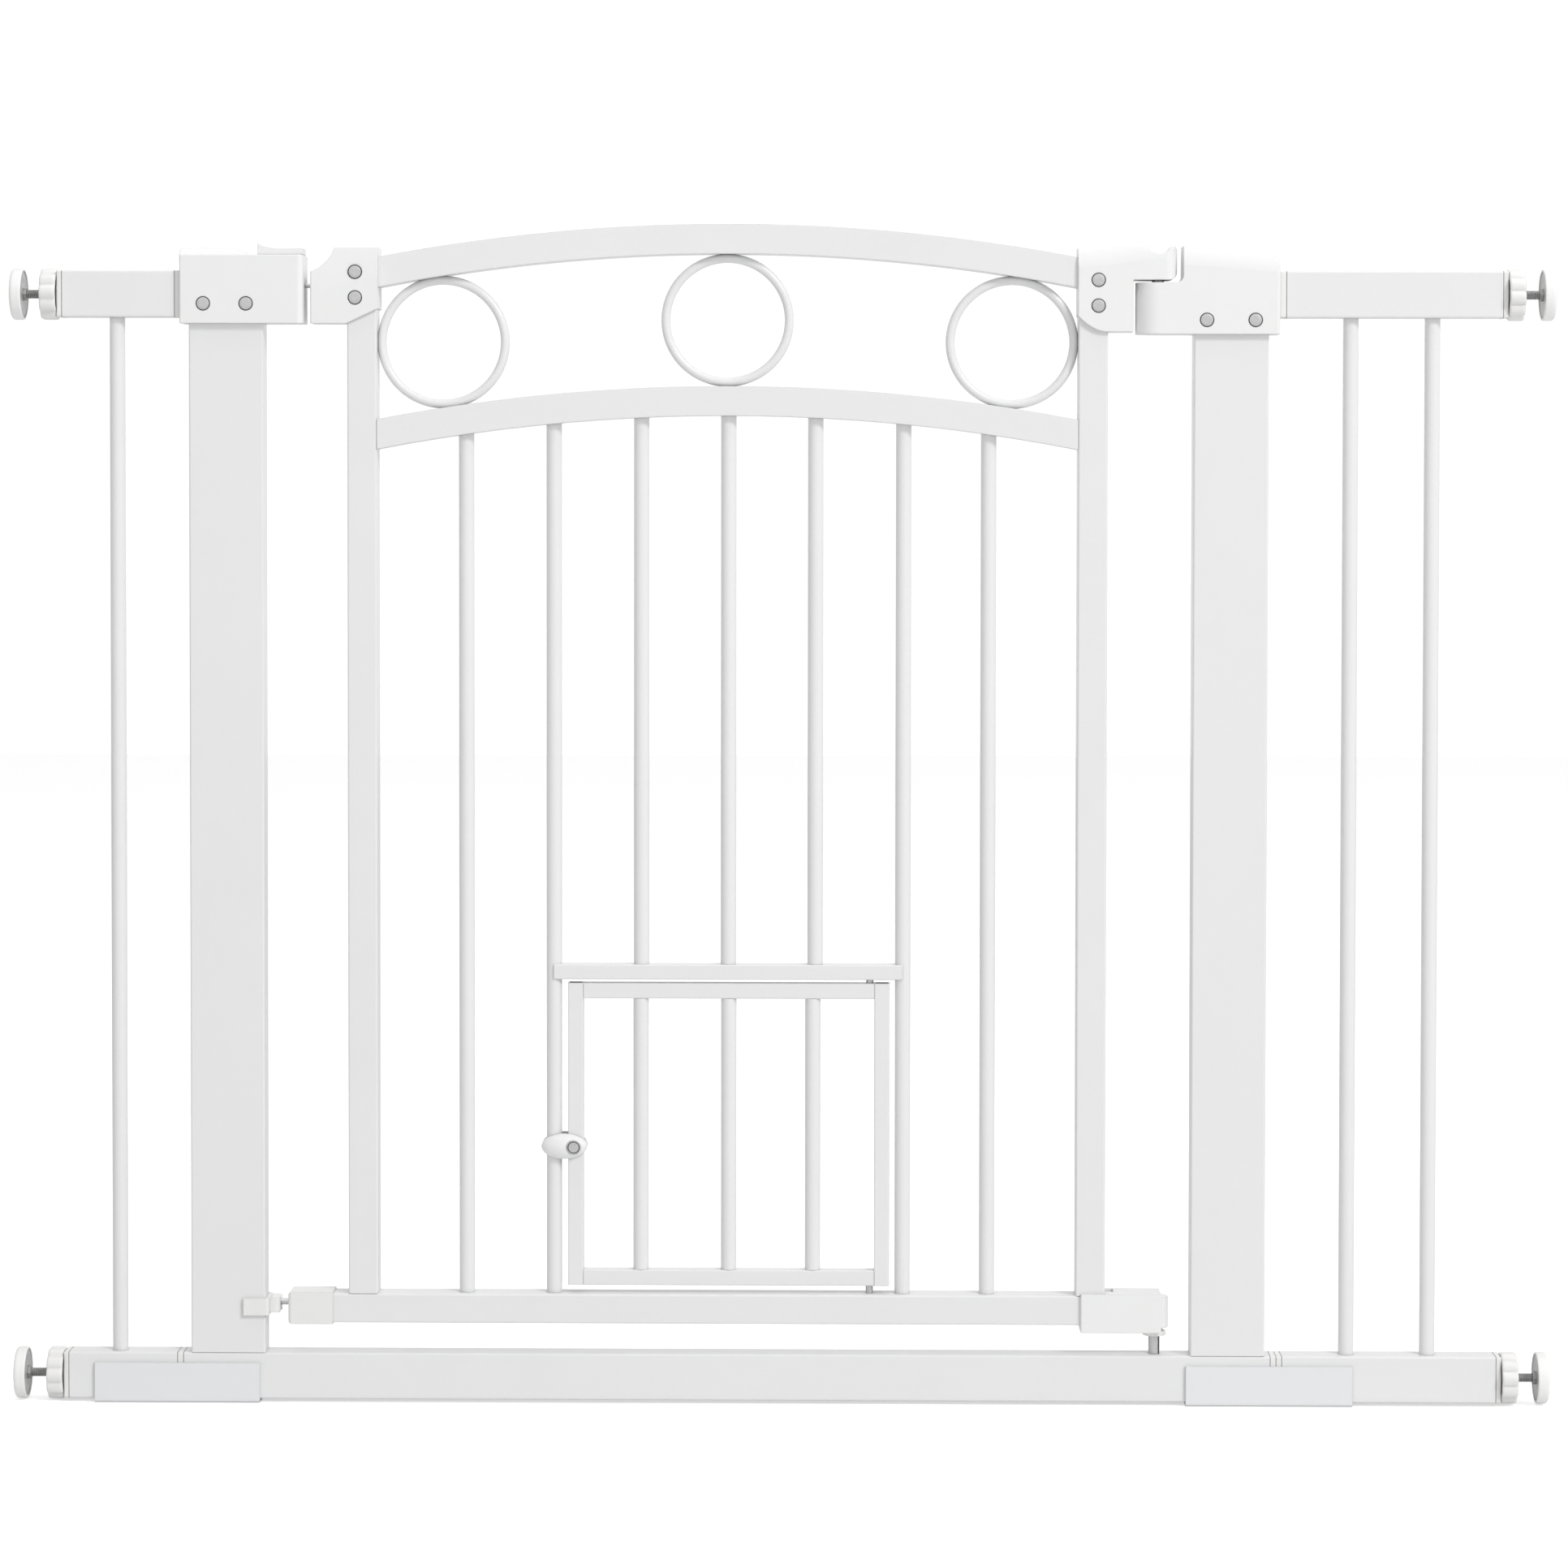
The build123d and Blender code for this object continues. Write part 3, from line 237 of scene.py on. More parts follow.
def tint(tree, x, y, base, top, amount):
    # base colour turning to top by amount; either may be a colour or a socket
    mix = put(tree, "ShaderNodeMix", x, y, data_type="RGBA")
    for socket, value in ((mix.inputs[6], base), (mix.inputs[7], top)):
        if isinstance(value, tuple):
            socket.default_value = (*value, 1.0)
        else:
            tree.links.new(value, socket)
    tree.links.new(amount, mix.inputs[0])
    return mix.outputs[2]


def spread(tree, x, y, value, low, high):
    node = put(tree, "ShaderNodeMapRange", x, y)
    node.inputs["To Min"].default_value = low
    node.inputs["To Max"].default_value = high
    tree.links.new(value, node.inputs["Value"])
    return node.outputs[0]


def startMaterial(look):
    material = bpy.data.materials.new(look["name"])
    material.use_nodes = True
    tree = material.node_tree
    shader = tree.nodes["Principled BSDF"]
    shader.location = (900, 0)
    place = put(tree, "ShaderNodeTexCoord", -900, 0).outputs["Object"]
    return material, tree, shader, place


def coatedMaterial(look):
    # powder coat and moulded plastic share this build; the relief effect differs
    material, tree, shader, place = startMaterial(look)
    if look["relief"] == "peel":
        relief = usePart(tree, peelEffect, -600, 300, place, Peel_Size=look["reliefSize"])
        drift = relief.outputs["Drift"]
    else:
        relief = usePart(tree, grainEffect, -600, 300, place, Grain_Size=look["reliefSize"])
        drift = relief.outputs["Flow"]
    seamShade = usePart(tree, seamEffect, -600, 0, place, Reach=look["seamShadeReach"],
                    Strength=look["seamShadeStrength"])
    edge = usePart(tree, edgeEffect, -600, -300, place, Edge_Width=look["edgeWidth"])
    colour = tint(tree, -250, 300, look["colour"], look["driftColour"], drift)
    colour = tint(tree, 0, 300, colour, look["dustColour"],
                  math2(tree, "MULTIPLY", -200, 100, seamShade.outputs["Top Dust"], look["dustAmount"]))
    # painted edge highlight and rubbed wear: edges lighten towards the sheen and rub colour
    colour = tint(tree, 250, 300, colour, look["sheenAndRubColour"],
                  math2(tree, "MULTIPLY", -200, -100, edge.outputs["Rub"], look["sheenAndRubAmount"]))
    # painted shade: tight corners and seams darken towards the seam shade colour
    colour = tint(tree, 500, 300, colour, look["seamShadeColour"], seamShade.outputs["Seams"])
    tree.links.new(colour, shader.inputs["Base Color"])
    rough = spread(tree, 250, 0, drift, look["roughness"][0], look["roughness"][1])
    rough = math2(tree, "ADD", 500, 0, rough,
                  math2(tree, "MULTIPLY", 250, -150, seamShade.outputs["Top Dust"], 0.15), clamp=True)
    tree.links.new(rough, shader.inputs["Roughness"])
    bump = put(tree, "ShaderNodeBump", 600, -250)
    bump.inputs["Strength"].default_value = look["bump"]
    bump.inputs["Distance"].default_value = look["bumpDepth"]
    tree.links.new(relief.outputs["Height"], bump.inputs["Height"])
    tree.links.new(edge.outputs["Eased Normal"], bump.inputs["Normal"])
    tree.links.new(bump.outputs["Normal"], shader.inputs["Normal"])
    shader.inputs["Coat Weight"].default_value = look.get("coat", 0.0)
    shader.inputs["Coat Roughness"].default_value = 0.12
    shader.inputs["Subsurface Weight"].default_value = look.get("glow", 0.0)
    shader.inputs["Subsurface Radius"].default_value = (0.004, 0.003, 0.002)
    return material


def steelMaterial(look):
    material, tree, shader, place = startMaterial(look)
    lines = usePart(tree, drawnEffect, -600, 300, place, Stretch=look["stretch"])
    seamShade = usePart(tree, seamEffect, -600, 0, place, Reach=look["seamShadeReach"], Strength=1.0)
    edge = usePart(tree, edgeEffect, -600, -300, place, Edge_Width=look["edgeWidth"])
    colour = tint(tree, -100, 300, look["colour"], look["streakColour"], lines.outputs["Streak"])
    # painted edge highlight and rubbed wear: edges lighten towards the sheen and rub colour
    colour = tint(tree, 150, 300, colour, look["sheenAndRubColour"], edge.outputs["Rub"])
    # painted shade: tight corners and seams darken towards the seam shade colour
    colour = tint(tree, 400, 300, colour, look["seamShadeColour"], seamShade.outputs["Seams"])
    tree.links.new(colour, shader.inputs["Base Color"])
    shader.inputs["Metallic"].default_value = look["metal"]
    rough = spread(tree, 400, 0, lines.outputs["Streak"], look["roughness"][0], look["roughness"][1])
    tree.links.new(rough, shader.inputs["Roughness"])
    bump = put(tree, "ShaderNodeBump", 600, -250)
    bump.inputs["Strength"].default_value = look["bump"]
    bump.inputs["Distance"].default_value = 0.0001
    tree.links.new(lines.outputs["Height"], bump.inputs["Height"])
    tree.links.new(edge.outputs["Eased Normal"], bump.inputs["Normal"])
    tree.links.new(bump.outputs["Normal"], shader.inputs["Normal"])
    return material


whiteSteelLook = {
    "name": "whitePowderCoat", "relief": "peel", "colour": (0.83, 0.83, 0.835),
    "driftColour": (0.80, 0.80, 0.805),
    "dustColour": (0.78, 0.77, 0.75), "dustAmount": 0.25, "sheenAndRubColour": (0.88, 0.88, 0.88),
    "sheenAndRubAmount": 0.5,
    "seamShadeColour": (0.42, 0.42, 0.42), "seamShadeReach": 0.0030, "seamShadeStrength": 0.7, "edgeWidth": 0.0008,
    "reliefSize": 0.0014, "bump": 0.16, "bumpDepth": 0.00025, "roughness": (0.30, 0.42), "coat": 0.15}
whitePlasticLook = {
    "name": "whiteMouldedPlastic", "relief": "grain", "colour": (0.87, 0.87, 0.87),
    "driftColour": (0.85, 0.85, 0.85),
    "dustColour": (0.80, 0.79, 0.77), "dustAmount": 0.2, "sheenAndRubColour": (0.92, 0.92, 0.92),
    "sheenAndRubAmount": 0.5,
    "seamShadeColour": (0.40, 0.40, 0.40), "seamShadeReach": 0.0025, "seamShadeStrength": 0.7, "edgeWidth": 0.0009,
    "reliefSize": 0.0007, "bump": 0.12, "bumpDepth": 0.00012, "roughness": (0.32, 0.44), "glow": 0.05}
ivoryPlasticLook = {
    **whitePlasticLook, "name": "ivoryMouldedPlastic", "colour": (0.85, 0.848, 0.832),
    "driftColour": (0.82, 0.818, 0.802), "roughness": (0.28, 0.38), "coat": 0.2}
footPlateLook = {
    **whiteSteelLook, "name": "coolWhitePowderCoat", "colour": (0.80, 0.81, 0.825),
    "driftColour": (0.785, 0.795, 0.812), "roughness": (0.38, 0.48), "coat": 0.0}
whiteRubberLook = {
    **whitePlasticLook, "name": "whiteRubber", "colour": (0.93, 0.93, 0.92),
    "driftColour": (0.90, 0.90, 0.89), "seamShadeStrength": 0.35,
    "reliefSize": 0.0009, "bump": 0.3, "roughness": (0.62, 0.75), "glow": 0.08}
rivetLook = {
    "name": "rivetSteel", "colour": (0.485, 0.485, 0.485), "streakColour": (0.55, 0.55, 0.55),
    "sheenAndRubColour": (0.85, 0.85, 0.85),
    "seamShadeColour": (0.2, 0.2, 0.2), "seamShadeReach": 0.0008, "edgeWidth": 0.0002,
    "stretch": (700.0, 700.0, 900.0), "metal": 0.35, "roughness": (0.36, 0.5), "bump": 0.15}
zincLook = {
    "name": "zincPlatedSteel", "colour": (0.50, 0.50, 0.51), "streakColour": (0.60, 0.60, 0.60),
    "sheenAndRubColour": (0.8, 0.8, 0.8),
    "seamShadeColour": (0.16, 0.16, 0.16), "seamShadeReach": 0.0015, "edgeWidth": 0.0002,
    "stretch": (300.0, 1800.0, 1800.0), "metal": 0.85, "roughness": (0.28, 0.42), "bump": 0.2}
threadLook = {
    **zincLook, "name": "threadedSteel", "colour": (0.30, 0.30, 0.30), "streakColour": (0.42, 0.42, 0.42),
    "seamShadeColour": (0.07, 0.07, 0.07), "roughness": (0.35, 0.5)}
gapLook = {
    "name": "gapShade", "colour": (0.035, 0.035, 0.04), "streakColour": (0.055, 0.055, 0.055),
    "sheenAndRubColour": (0.08, 0.08, 0.08),
    "seamShadeColour": (0.02, 0.02, 0.02), "seamShadeReach": 0.001, "edgeWidth": 0.0001,
    "stretch": (900.0, 900.0, 900.0), "metal": 0.0, "roughness": (0.6, 0.8), "bump": 0.1}
seamLineLook = {
    **gapLook, "name": "tubeJointShade", "colour": (0.24, 0.24, 0.235),
    "streakColour": (0.30, 0.30, 0.295), "sheenAndRubColour": (0.4, 0.4, 0.4), "seamShadeColour": (0.15, 0.15, 0.15)}

finishes = {
    "white_steel": coatedMaterial(whiteSteelLook),
    "white_plastic": coatedMaterial(whitePlasticLook),
    "ivory_plastic": coatedMaterial(ivoryPlasticLook),
    "foot_plate_white": coatedMaterial(footPlateLook),
    "white_rubber": coatedMaterial(whiteRubberLook),
    "rivet_grey": steelMaterial(rivetLook),
    "zinc_steel": steelMaterial(zincLook)}
threadSteel = steelMaterial(threadLook)
gapShade = steelMaterial(gapLook)
jointShade = steelMaterial(seamLineLook)

for name, part in nodes.items():
    for slot in part.material_slots:
        if slot.material and slot.material.name.split(".")[0] in finishes:
            slot.material = finishes[slot.material.name.split(".")[0]]
print("finishes on", len(nodes), "parts")


# mesh helpers
def linkPiece(name, mesh):
    piece = bpy.data.objects.new(name, mesh)
    bpy.context.scene.collection.objects.link(piece)
    return piece


def meshFrom(name, fill):
    made = bmesh.new()
    fill(made)
    bmesh.ops.remove_doubles(made, verts=made.verts, dist=1e-7)
    bmesh.ops.recalc_face_normals(made, faces=made.faces)
    mesh = bpy.data.meshes.new(name)
    made.to_mesh(mesh)
    made.free()
    mesh.shade_smooth()
    mesh.set_sharp_from_angle(angle=math.radians(38))
    return mesh


def lathe(made, profile, segments, matrix, ring=False):
    # profile is (along, radius) in millimetres, turned about local x; ring closes it on itself
    rows = []
    for along, radius in profile:
        if radius < 1e-6:
            rows.append([made.verts.new(matrix @ Vector((along * mm, 0, 0)))])
            continue
        turns = [2 * math.pi * i / segments for i in range(segments)]
        circle = [(along * mm, radius * mm * math.cos(a), radius * mm * math.sin(a)) for a in turns]
        rows.append([made.verts.new(matrix @ Vector(spot)) for spot in circle])
    pairs = list(zip(rows, rows[1:])) + ([(rows[-1], rows[0])] if ring else [])
    for a, b in pairs:
        for i in range(segments):
            j = (i + 1) % segments
            quad = [a[i % len(a)], a[j % len(a)], b[j % len(b)], b[i % len(b)]]
            face = list(dict.fromkeys(quad))
            if len(face) > 2:
                made.faces.new(face)


def turnedOut(place, outward):
    # sets a lathe down with its local x pointing out of the gate, to either side
    turn = Matrix.Rotation(math.pi, 4, "Z") if outward < 0 else Matrix.Identity(4)
    return Matrix.Translation(place) @ turn


def islandCentres(name):
    # centre and half size of each separate solid of a part, from a merged copy of its mesh,
    # sorted because a set of vertices is walked in another order on each run
    copy = bmesh.new()
    copy.from_mesh(nodes[name].data)
    bmesh.ops.remove_doubles(copy, verts=copy.verts, dist=1e-6)
    left, centres = set(copy.verts), []
    while left:
        reach, found = [left.pop()], []
        while reach:
            vert = reach.pop()
            found.append(vert.co.copy())
            for edge in vert.link_edges:
                other = edge.other_vert(vert)
                if other in left:
                    left.discard(other)
                    reach.append(other)
        low = Vector(min(p[i] for p in found) for i in range(3))
        high = Vector(max(p[i] for p in found) for i in range(3))
        centres.append(((low + high) / 2, (high - low) / 2))
    copy.free()
    return sorted(centres, key=lambda island: tuple(island[0]))


# Geometry Nodes: shapes that repeat or follow a rule
def inputIds(tree):
    sockets = [item for item in tree.interface.items_tree if item.item_type == "SOCKET"]
    return {socket.name: socket.identifier for socket in sockets if socket.in_out == "INPUT"}


def grow(name, mesh, tree, values):
    # runs a tree on a starting mesh and keeps the plain result
    piece = linkPiece(name, mesh)
    modifier = piece.modifiers.new(tree.name, "NODES")
    modifier.node_group = tree
    ids = inputIds(tree)
    for label, value in values.items():
        modifier[ids[label]] = value
    ready = bpy.context.evaluated_depsgraph_get()
    result = bpy.data.meshes.new_from_object(piece.evaluated_get(ready))
    piece.modifiers.remove(modifier)
    piece.data = result
    result.name = name
    result.shade_smooth()
    result.set_sharp_from_angle(angle=math.radians(50))
    return piece


def finishTree(tree, geometry, given, made):
    # every tree ends the same way: real mesh, one material
    real = put(tree, "GeometryNodeRealizeInstances", 500, 0)
    coat = put(tree, "GeometryNodeSetMaterial", 700, 0)
    tree.links.new(geometry, real.inputs[0])
    tree.links.new(real.outputs[0], coat.inputs["Geometry"])
    tree.links.new(given.outputs["Material"], coat.inputs["Material"])
    tree.links.new(coat.outputs[0], made.inputs["Geometry"])


def radialTree(name, extra, pull):
    # moves points towards or away from an axis along x by what pull() works out
    tree, given, made = newGroup(name, "GeometryNodeTree",
                                 [("Geometry", "Geometry"), ("Centre", "Vector"), *extra,
                                  ("Material", "Material")],
                                 [("Geometry", "Geometry")])
    place = put(tree, "GeometryNodeInputPosition", -900, -300)
    offset = put(tree, "ShaderNodeVectorMath", -700, -300, operation="SUBTRACT")
    tree.links.new(place.outputs[0], offset.inputs[0])
    tree.links.new(given.outputs["Centre"], offset.inputs[1])
    split = put(tree, "ShaderNodeSeparateXYZ", -500, -300)
    tree.links.new(offset.outputs[0], split.inputs[0])
    angle = math2(tree, "ARCTAN2", -300, -400, split.outputs["Z"], split.outputs["Y"])
    flat = put(tree, "ShaderNodeCombineXYZ", -300, -600)
    tree.links.new(split.outputs["Y"], flat.inputs["Y"])
    tree.links.new(split.outputs["Z"], flat.inputs["Z"])
    away = put(tree, "ShaderNodeVectorMath", -100, -600, operation="NORMALIZE")
    tree.links.new(flat.outputs[0], away.inputs[0])
    radius = put(tree, "ShaderNodeVectorMath", -100, -750, operation="LENGTH")
    tree.links.new(flat.outputs[0], radius.inputs[0])
    amount = pull(tree, given, split.outputs["X"], angle, radius.outputs["Value"])
    shift = put(tree, "ShaderNodeVectorMath", 200, -600, operation="SCALE")
    tree.links.new(away.outputs[0], shift.inputs[0])
    tree.links.new(amount, shift.inputs["Scale"])
    move = put(tree, "GeometryNodeSetPosition", 350, 0)
    tree.links.new(given.outputs["Geometry"], move.inputs["Geometry"])
    tree.links.new(shift.outputs[0], move.inputs["Offset"])
    finishTree(tree, move.outputs[0], given, made)
    return tree


def fade(tree, x, y, value, start, end):
    node = put(tree, "ShaderNodeMapRange", x, y, interpolation_type="SMOOTHSTEP")
    for label, limit in (("From Min", start), ("From Max", end)):
        if isinstance(limit, (int, float)):
            node.inputs[label].default_value = limit
        else:
            tree.links.new(limit, node.inputs[label])
    tree.links.new(value, node.inputs["Value"])
    return node.outputs[0]


def threadPull(tree, given, along, angle, radius):
    turns = math2(tree, "ADD", -100, -100,
                  math2(tree, "DIVIDE", -200, -100, along, given.outputs["Pitch"]),
                  math2(tree, "DIVIDE", -200, -200, angle, 2 * math.pi))
    whole = math2(tree, "FRACT", 0, -100, turns)
    ramp = math2(tree, "ABSOLUTE", 150, -100,
                 math2(tree, "SUBTRACT", 75, -100, math2(tree, "MULTIPLY", 40, -100, whole, 2.0), 1.0))
    depth = math2(tree, "MULTIPLY", 200, -200, ramp, given.outputs["Depth"])
    ends = math2(tree, "SUBTRACT", 0, -900,
                 math2(tree, "MULTIPLY", -50, -900, given.outputs["Length"], 0.5),
                 math2(tree, "ABSOLUTE", -50, -950, along))
    lead = fade(tree, 100, -900, ends, 0.0, given.outputs["Pitch"])
    bare = math2(tree, "SUBTRACT", 150, -1000, 1.0, lead)
    depth = math2(tree, "MAXIMUM", 250, -200, depth,
                  math2(tree, "MULTIPLY", 200, -1000, bare, given.outputs["Depth"]))
    onRim = fade(tree, 100, -1100, radius, 0.0015, 0.002)
    return math2(tree, "MULTIPLY", 300, -300, math2(tree, "MULTIPLY", 280, -300, depth, onRim), -1.0)


def scallopPull(tree, given, along, angle, radius):
    # round lobes that meet in narrow cusps: the pull grows with the square of the way to the cusp
    turned = math2(tree, "DIVIDE", -150, -100,
                   math2(tree, "MULTIPLY", -200, -100, angle, given.outputs["Lobes"]), 2 * math.pi)
    turned = math2(tree, "FRACT", 0, -100, math2(tree, "ADD", -75, -100, turned, given.outputs["Phase"]))
    off = math2(tree, "ABSOLUTE", 120, -100, math2(tree, "SUBTRACT", 75, -100, turned, 0.5))
    toCusp = math2(tree, "SUBTRACT", 200, -100, 1.0, math2(tree, "MULTIPLY", 160, -100, off, 2.0))
    pull = math2(tree, "MULTIPLY", 240, -100, toCusp, toCusp)
    rim = given.outputs["Radius"]
    onRim = fade(tree, 100, -1100, radius, math2(tree, "MULTIPLY", 0, -1100, rim, 0.76), rim)
    depth = math2(tree, "MULTIPLY", 280, -300, math2(tree, "MULTIPLY", 270, -250, pull, onRim),
                  given.outputs["Depth"])
    return math2(tree, "MULTIPLY", 300, -300, depth, -1.0)


def knurlPull(tree, given, along, angle, radius):
    ridge = math2(tree, "DIVIDE", -100, -100,
                  math2(tree, "MULTIPLY", -200, -100, angle, given.outputs["Ridges"]), 2 * math.pi)
    lean = math2(tree, "MULTIPLY", -100, -200, along, given.outputs["Slant"])
    whole = math2(tree, "FRACT", 50, -100, math2(tree, "ADD", 0, -100, ridge, lean))
    ramp = math2(tree, "ABSOLUTE", 200, -100,
                 math2(tree, "SUBTRACT", 150, -100, math2(tree, "MULTIPLY", 100, -100, whole, 2.0), 1.0))
    onRim = fade(tree, 100, -1100, radius,
                 math2(tree, "MULTIPLY", 0, -1100, given.outputs["Radius"], 0.965),
                 math2(tree, "MULTIPLY", 0, -1150, given.outputs["Radius"], 0.985))
    depth = math2(tree, "MULTIPLY", 280, -300, math2(tree, "MULTIPLY", 270, -250, ramp, onRim),
                  given.outputs["Depth"])
    return math2(tree, "MULTIPLY", 300, -300, depth, -1.0)


threadTree = radialTree("screwThread",
                        [("Pitch", "Float", 0.00125), ("Depth", "Float", 0.0006),
                         ("Length", "Float", 0.06)], threadPull)
scallopTree = radialTree("wheelScallops",
                         [("Lobes", "Float", 10.0), ("Phase", "Float", 0.0), ("Depth", "Float", 0.002),
                                           ("Radius", "Float", 0.017)], scallopPull)
knurlTree = radialTree("padKnurl",
                       [("Ridges", "Float", 56.0), ("Slant", "Float", 260.0), ("Depth", "Float", 0.0003),
                        ("Radius", "Float", 0.0166)], knurlPull)


def makeScatterTree():
    # one part set on every point, its local z turned to the point's facing
    tree, given, made = newGroup("setParts", "GeometryNodeTree",
                                 [("Geometry", "Geometry"), ("Part", "Object"), ("Scale", "Float", 1.0),
                                  ("Material", "Material")],
                                 [("Geometry", "Geometry")])
    facing = put(tree, "GeometryNodeInputNamedAttribute", -700, -300, data_type="FLOAT_VECTOR")
    facing.inputs["Name"].default_value = "facing"
    turn = put(tree, "FunctionNodeAlignRotationToVector", -400, -300, axis="Z")
    tree.links.new(facing.outputs["Attribute"], turn.inputs["Vector"])
    part = put(tree, "GeometryNodeObjectInfo", -400, 200)
    tree.links.new(given.outputs["Part"], part.inputs["Object"])
    spots = put(tree, "GeometryNodeMeshToPoints", -400, 0)
    tree.links.new(given.outputs["Geometry"], spots.inputs["Mesh"])
    place = put(tree, "GeometryNodeInstanceOnPoints", 0, 0)
    tree.links.new(spots.outputs[0], place.inputs["Points"])
    tree.links.new(part.outputs["Geometry"], place.inputs["Instance"])
    tree.links.new(turn.outputs["Rotation"], place.inputs["Rotation"])
    size = put(tree, "ShaderNodeCombineXYZ", -200, -500)
    for label in "XYZ":
        tree.links.new(given.outputs["Scale"], size.inputs[label])
    tree.links.new(size.outputs[0], place.inputs["Scale"])
    finishTree(tree, place.outputs[0], given, made)
    return tree


scatterTree = makeScatterTree()


def scatter(name, spots, part, material, scale=1.0):
    # spots is a list of (place, facing)
    mesh = bpy.data.meshes.new(name + "Spots")
    mesh.from_pydata([place for place, _ in spots], [], [])
    way = mesh.attributes.new("facing", "FLOAT_VECTOR", "POINT")
    way.data.foreach_set("vector", [c for _, facing in spots for c in facing])
    return grow(name, mesh, scatterTree, {"Part": part, "Scale": scale, "Material": material})


def template(name, fill):
    return linkPiece(name, meshFrom(name, fill))


alongZ = Matrix.Rotation(math.radians(-90), 4, "Y")  # local x of a lathe turned to z

# rivets
rivet = {"headRadius": 4.0, "proud": 0.5, "edge": 0.22, "ringInner": 3.9, "ringOuter": 4.65,
         "ringProud": 0.05, "sunk": 0.5, "dimple": 2.0, "dimpleDepth": 0.03, "segments": 36}
headTemplate = template("rivetHead", lambda made: lathe(made, [
    (-rivet["sunk"], 0), (-rivet["sunk"], rivet["headRadius"]),
    (rivet["proud"] - rivet["edge"], rivet["headRadius"]),
    (rivet["proud"] - 0.07, rivet["headRadius"] - 0.09),
    (rivet["proud"], rivet["headRadius"] - rivet["edge"]),
    (rivet["proud"] - rivet["dimpleDepth"], rivet["dimple"]), (rivet["proud"] - rivet["dimpleDepth"], 0)],
    rivet["segments"], alongZ))
# painted shade: a dark ring round each rivet head stands for the shade of the gap under its edge
gapShadeRingTemplate = template("rivetRing", lambda made: lathe(made, [
    (-rivet["sunk"], rivet["ringInner"]), (rivet["ringProud"], rivet["ringInner"]),
    (rivet["ringProud"], rivet["ringOuter"] - 0.1),
    (0.0, rivet["ringOuter"]), (-rivet["sunk"], rivet["ringOuter"])], rivet["segments"], alongZ,
    ring=True))
for node, body in (("latch_housing_rivets", "frame"), ("hinge_housing_rivets", "frame"),
                   ("leaf_rivets", "leaf")):
    spots = []
    for centre, half in islandCentres(node):
        for side in (-1, 1):
            surface = centre.y + side * (half.y - rivet["proud"] * mm)
            spots.append(((centre.x, surface, centre.z), (0, side, 0)))
    heads = scatter(node + "Heads", spots, headTemplate, finishes["rivet_grey"])
    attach(heads, body)
    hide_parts(node)
    gapShadeRings = scatter(node + "Gaps", spots, gapShadeRingTemplate, gapShade)
    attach(gapShadeRings, body)
print("rivets set")

# hand wheels, spindles and pads
wheel = {"segments": 160, "dish": 0.9, "lip": 1.0, "lobes": 10.0, "cuspDepth": 0.0020, "bore": 3.2,
         "hub": 6.4, "web": (7.2, 12.6), "rimInside": 13.4,
         "phase": {"upper_left": 0.10, "lower_left": 0.03, "upper_right": -0.26, "lower_right": 0.17}}
screw = {"segments": 24, "rowsPerTurn": 6, "pitch": 1.25, "depth": 0.6, "radius": 3.05, "collar": 4.55,
         "collarLength": 2.6,
         "disc": 15.15, "discThickness": 1.4, "discGroove": (9.4, 6.1), "grooveDepth": 0.12,
         "collarSides": 6}
cup = {"segments": 224, "ridges": 56.0, "slant": 300.0, "depth": 0.00032, "radius": 16.6, "recess": 14.8,
       "floor": 2.05, "discGap": 0.03, "wallRows": 6}

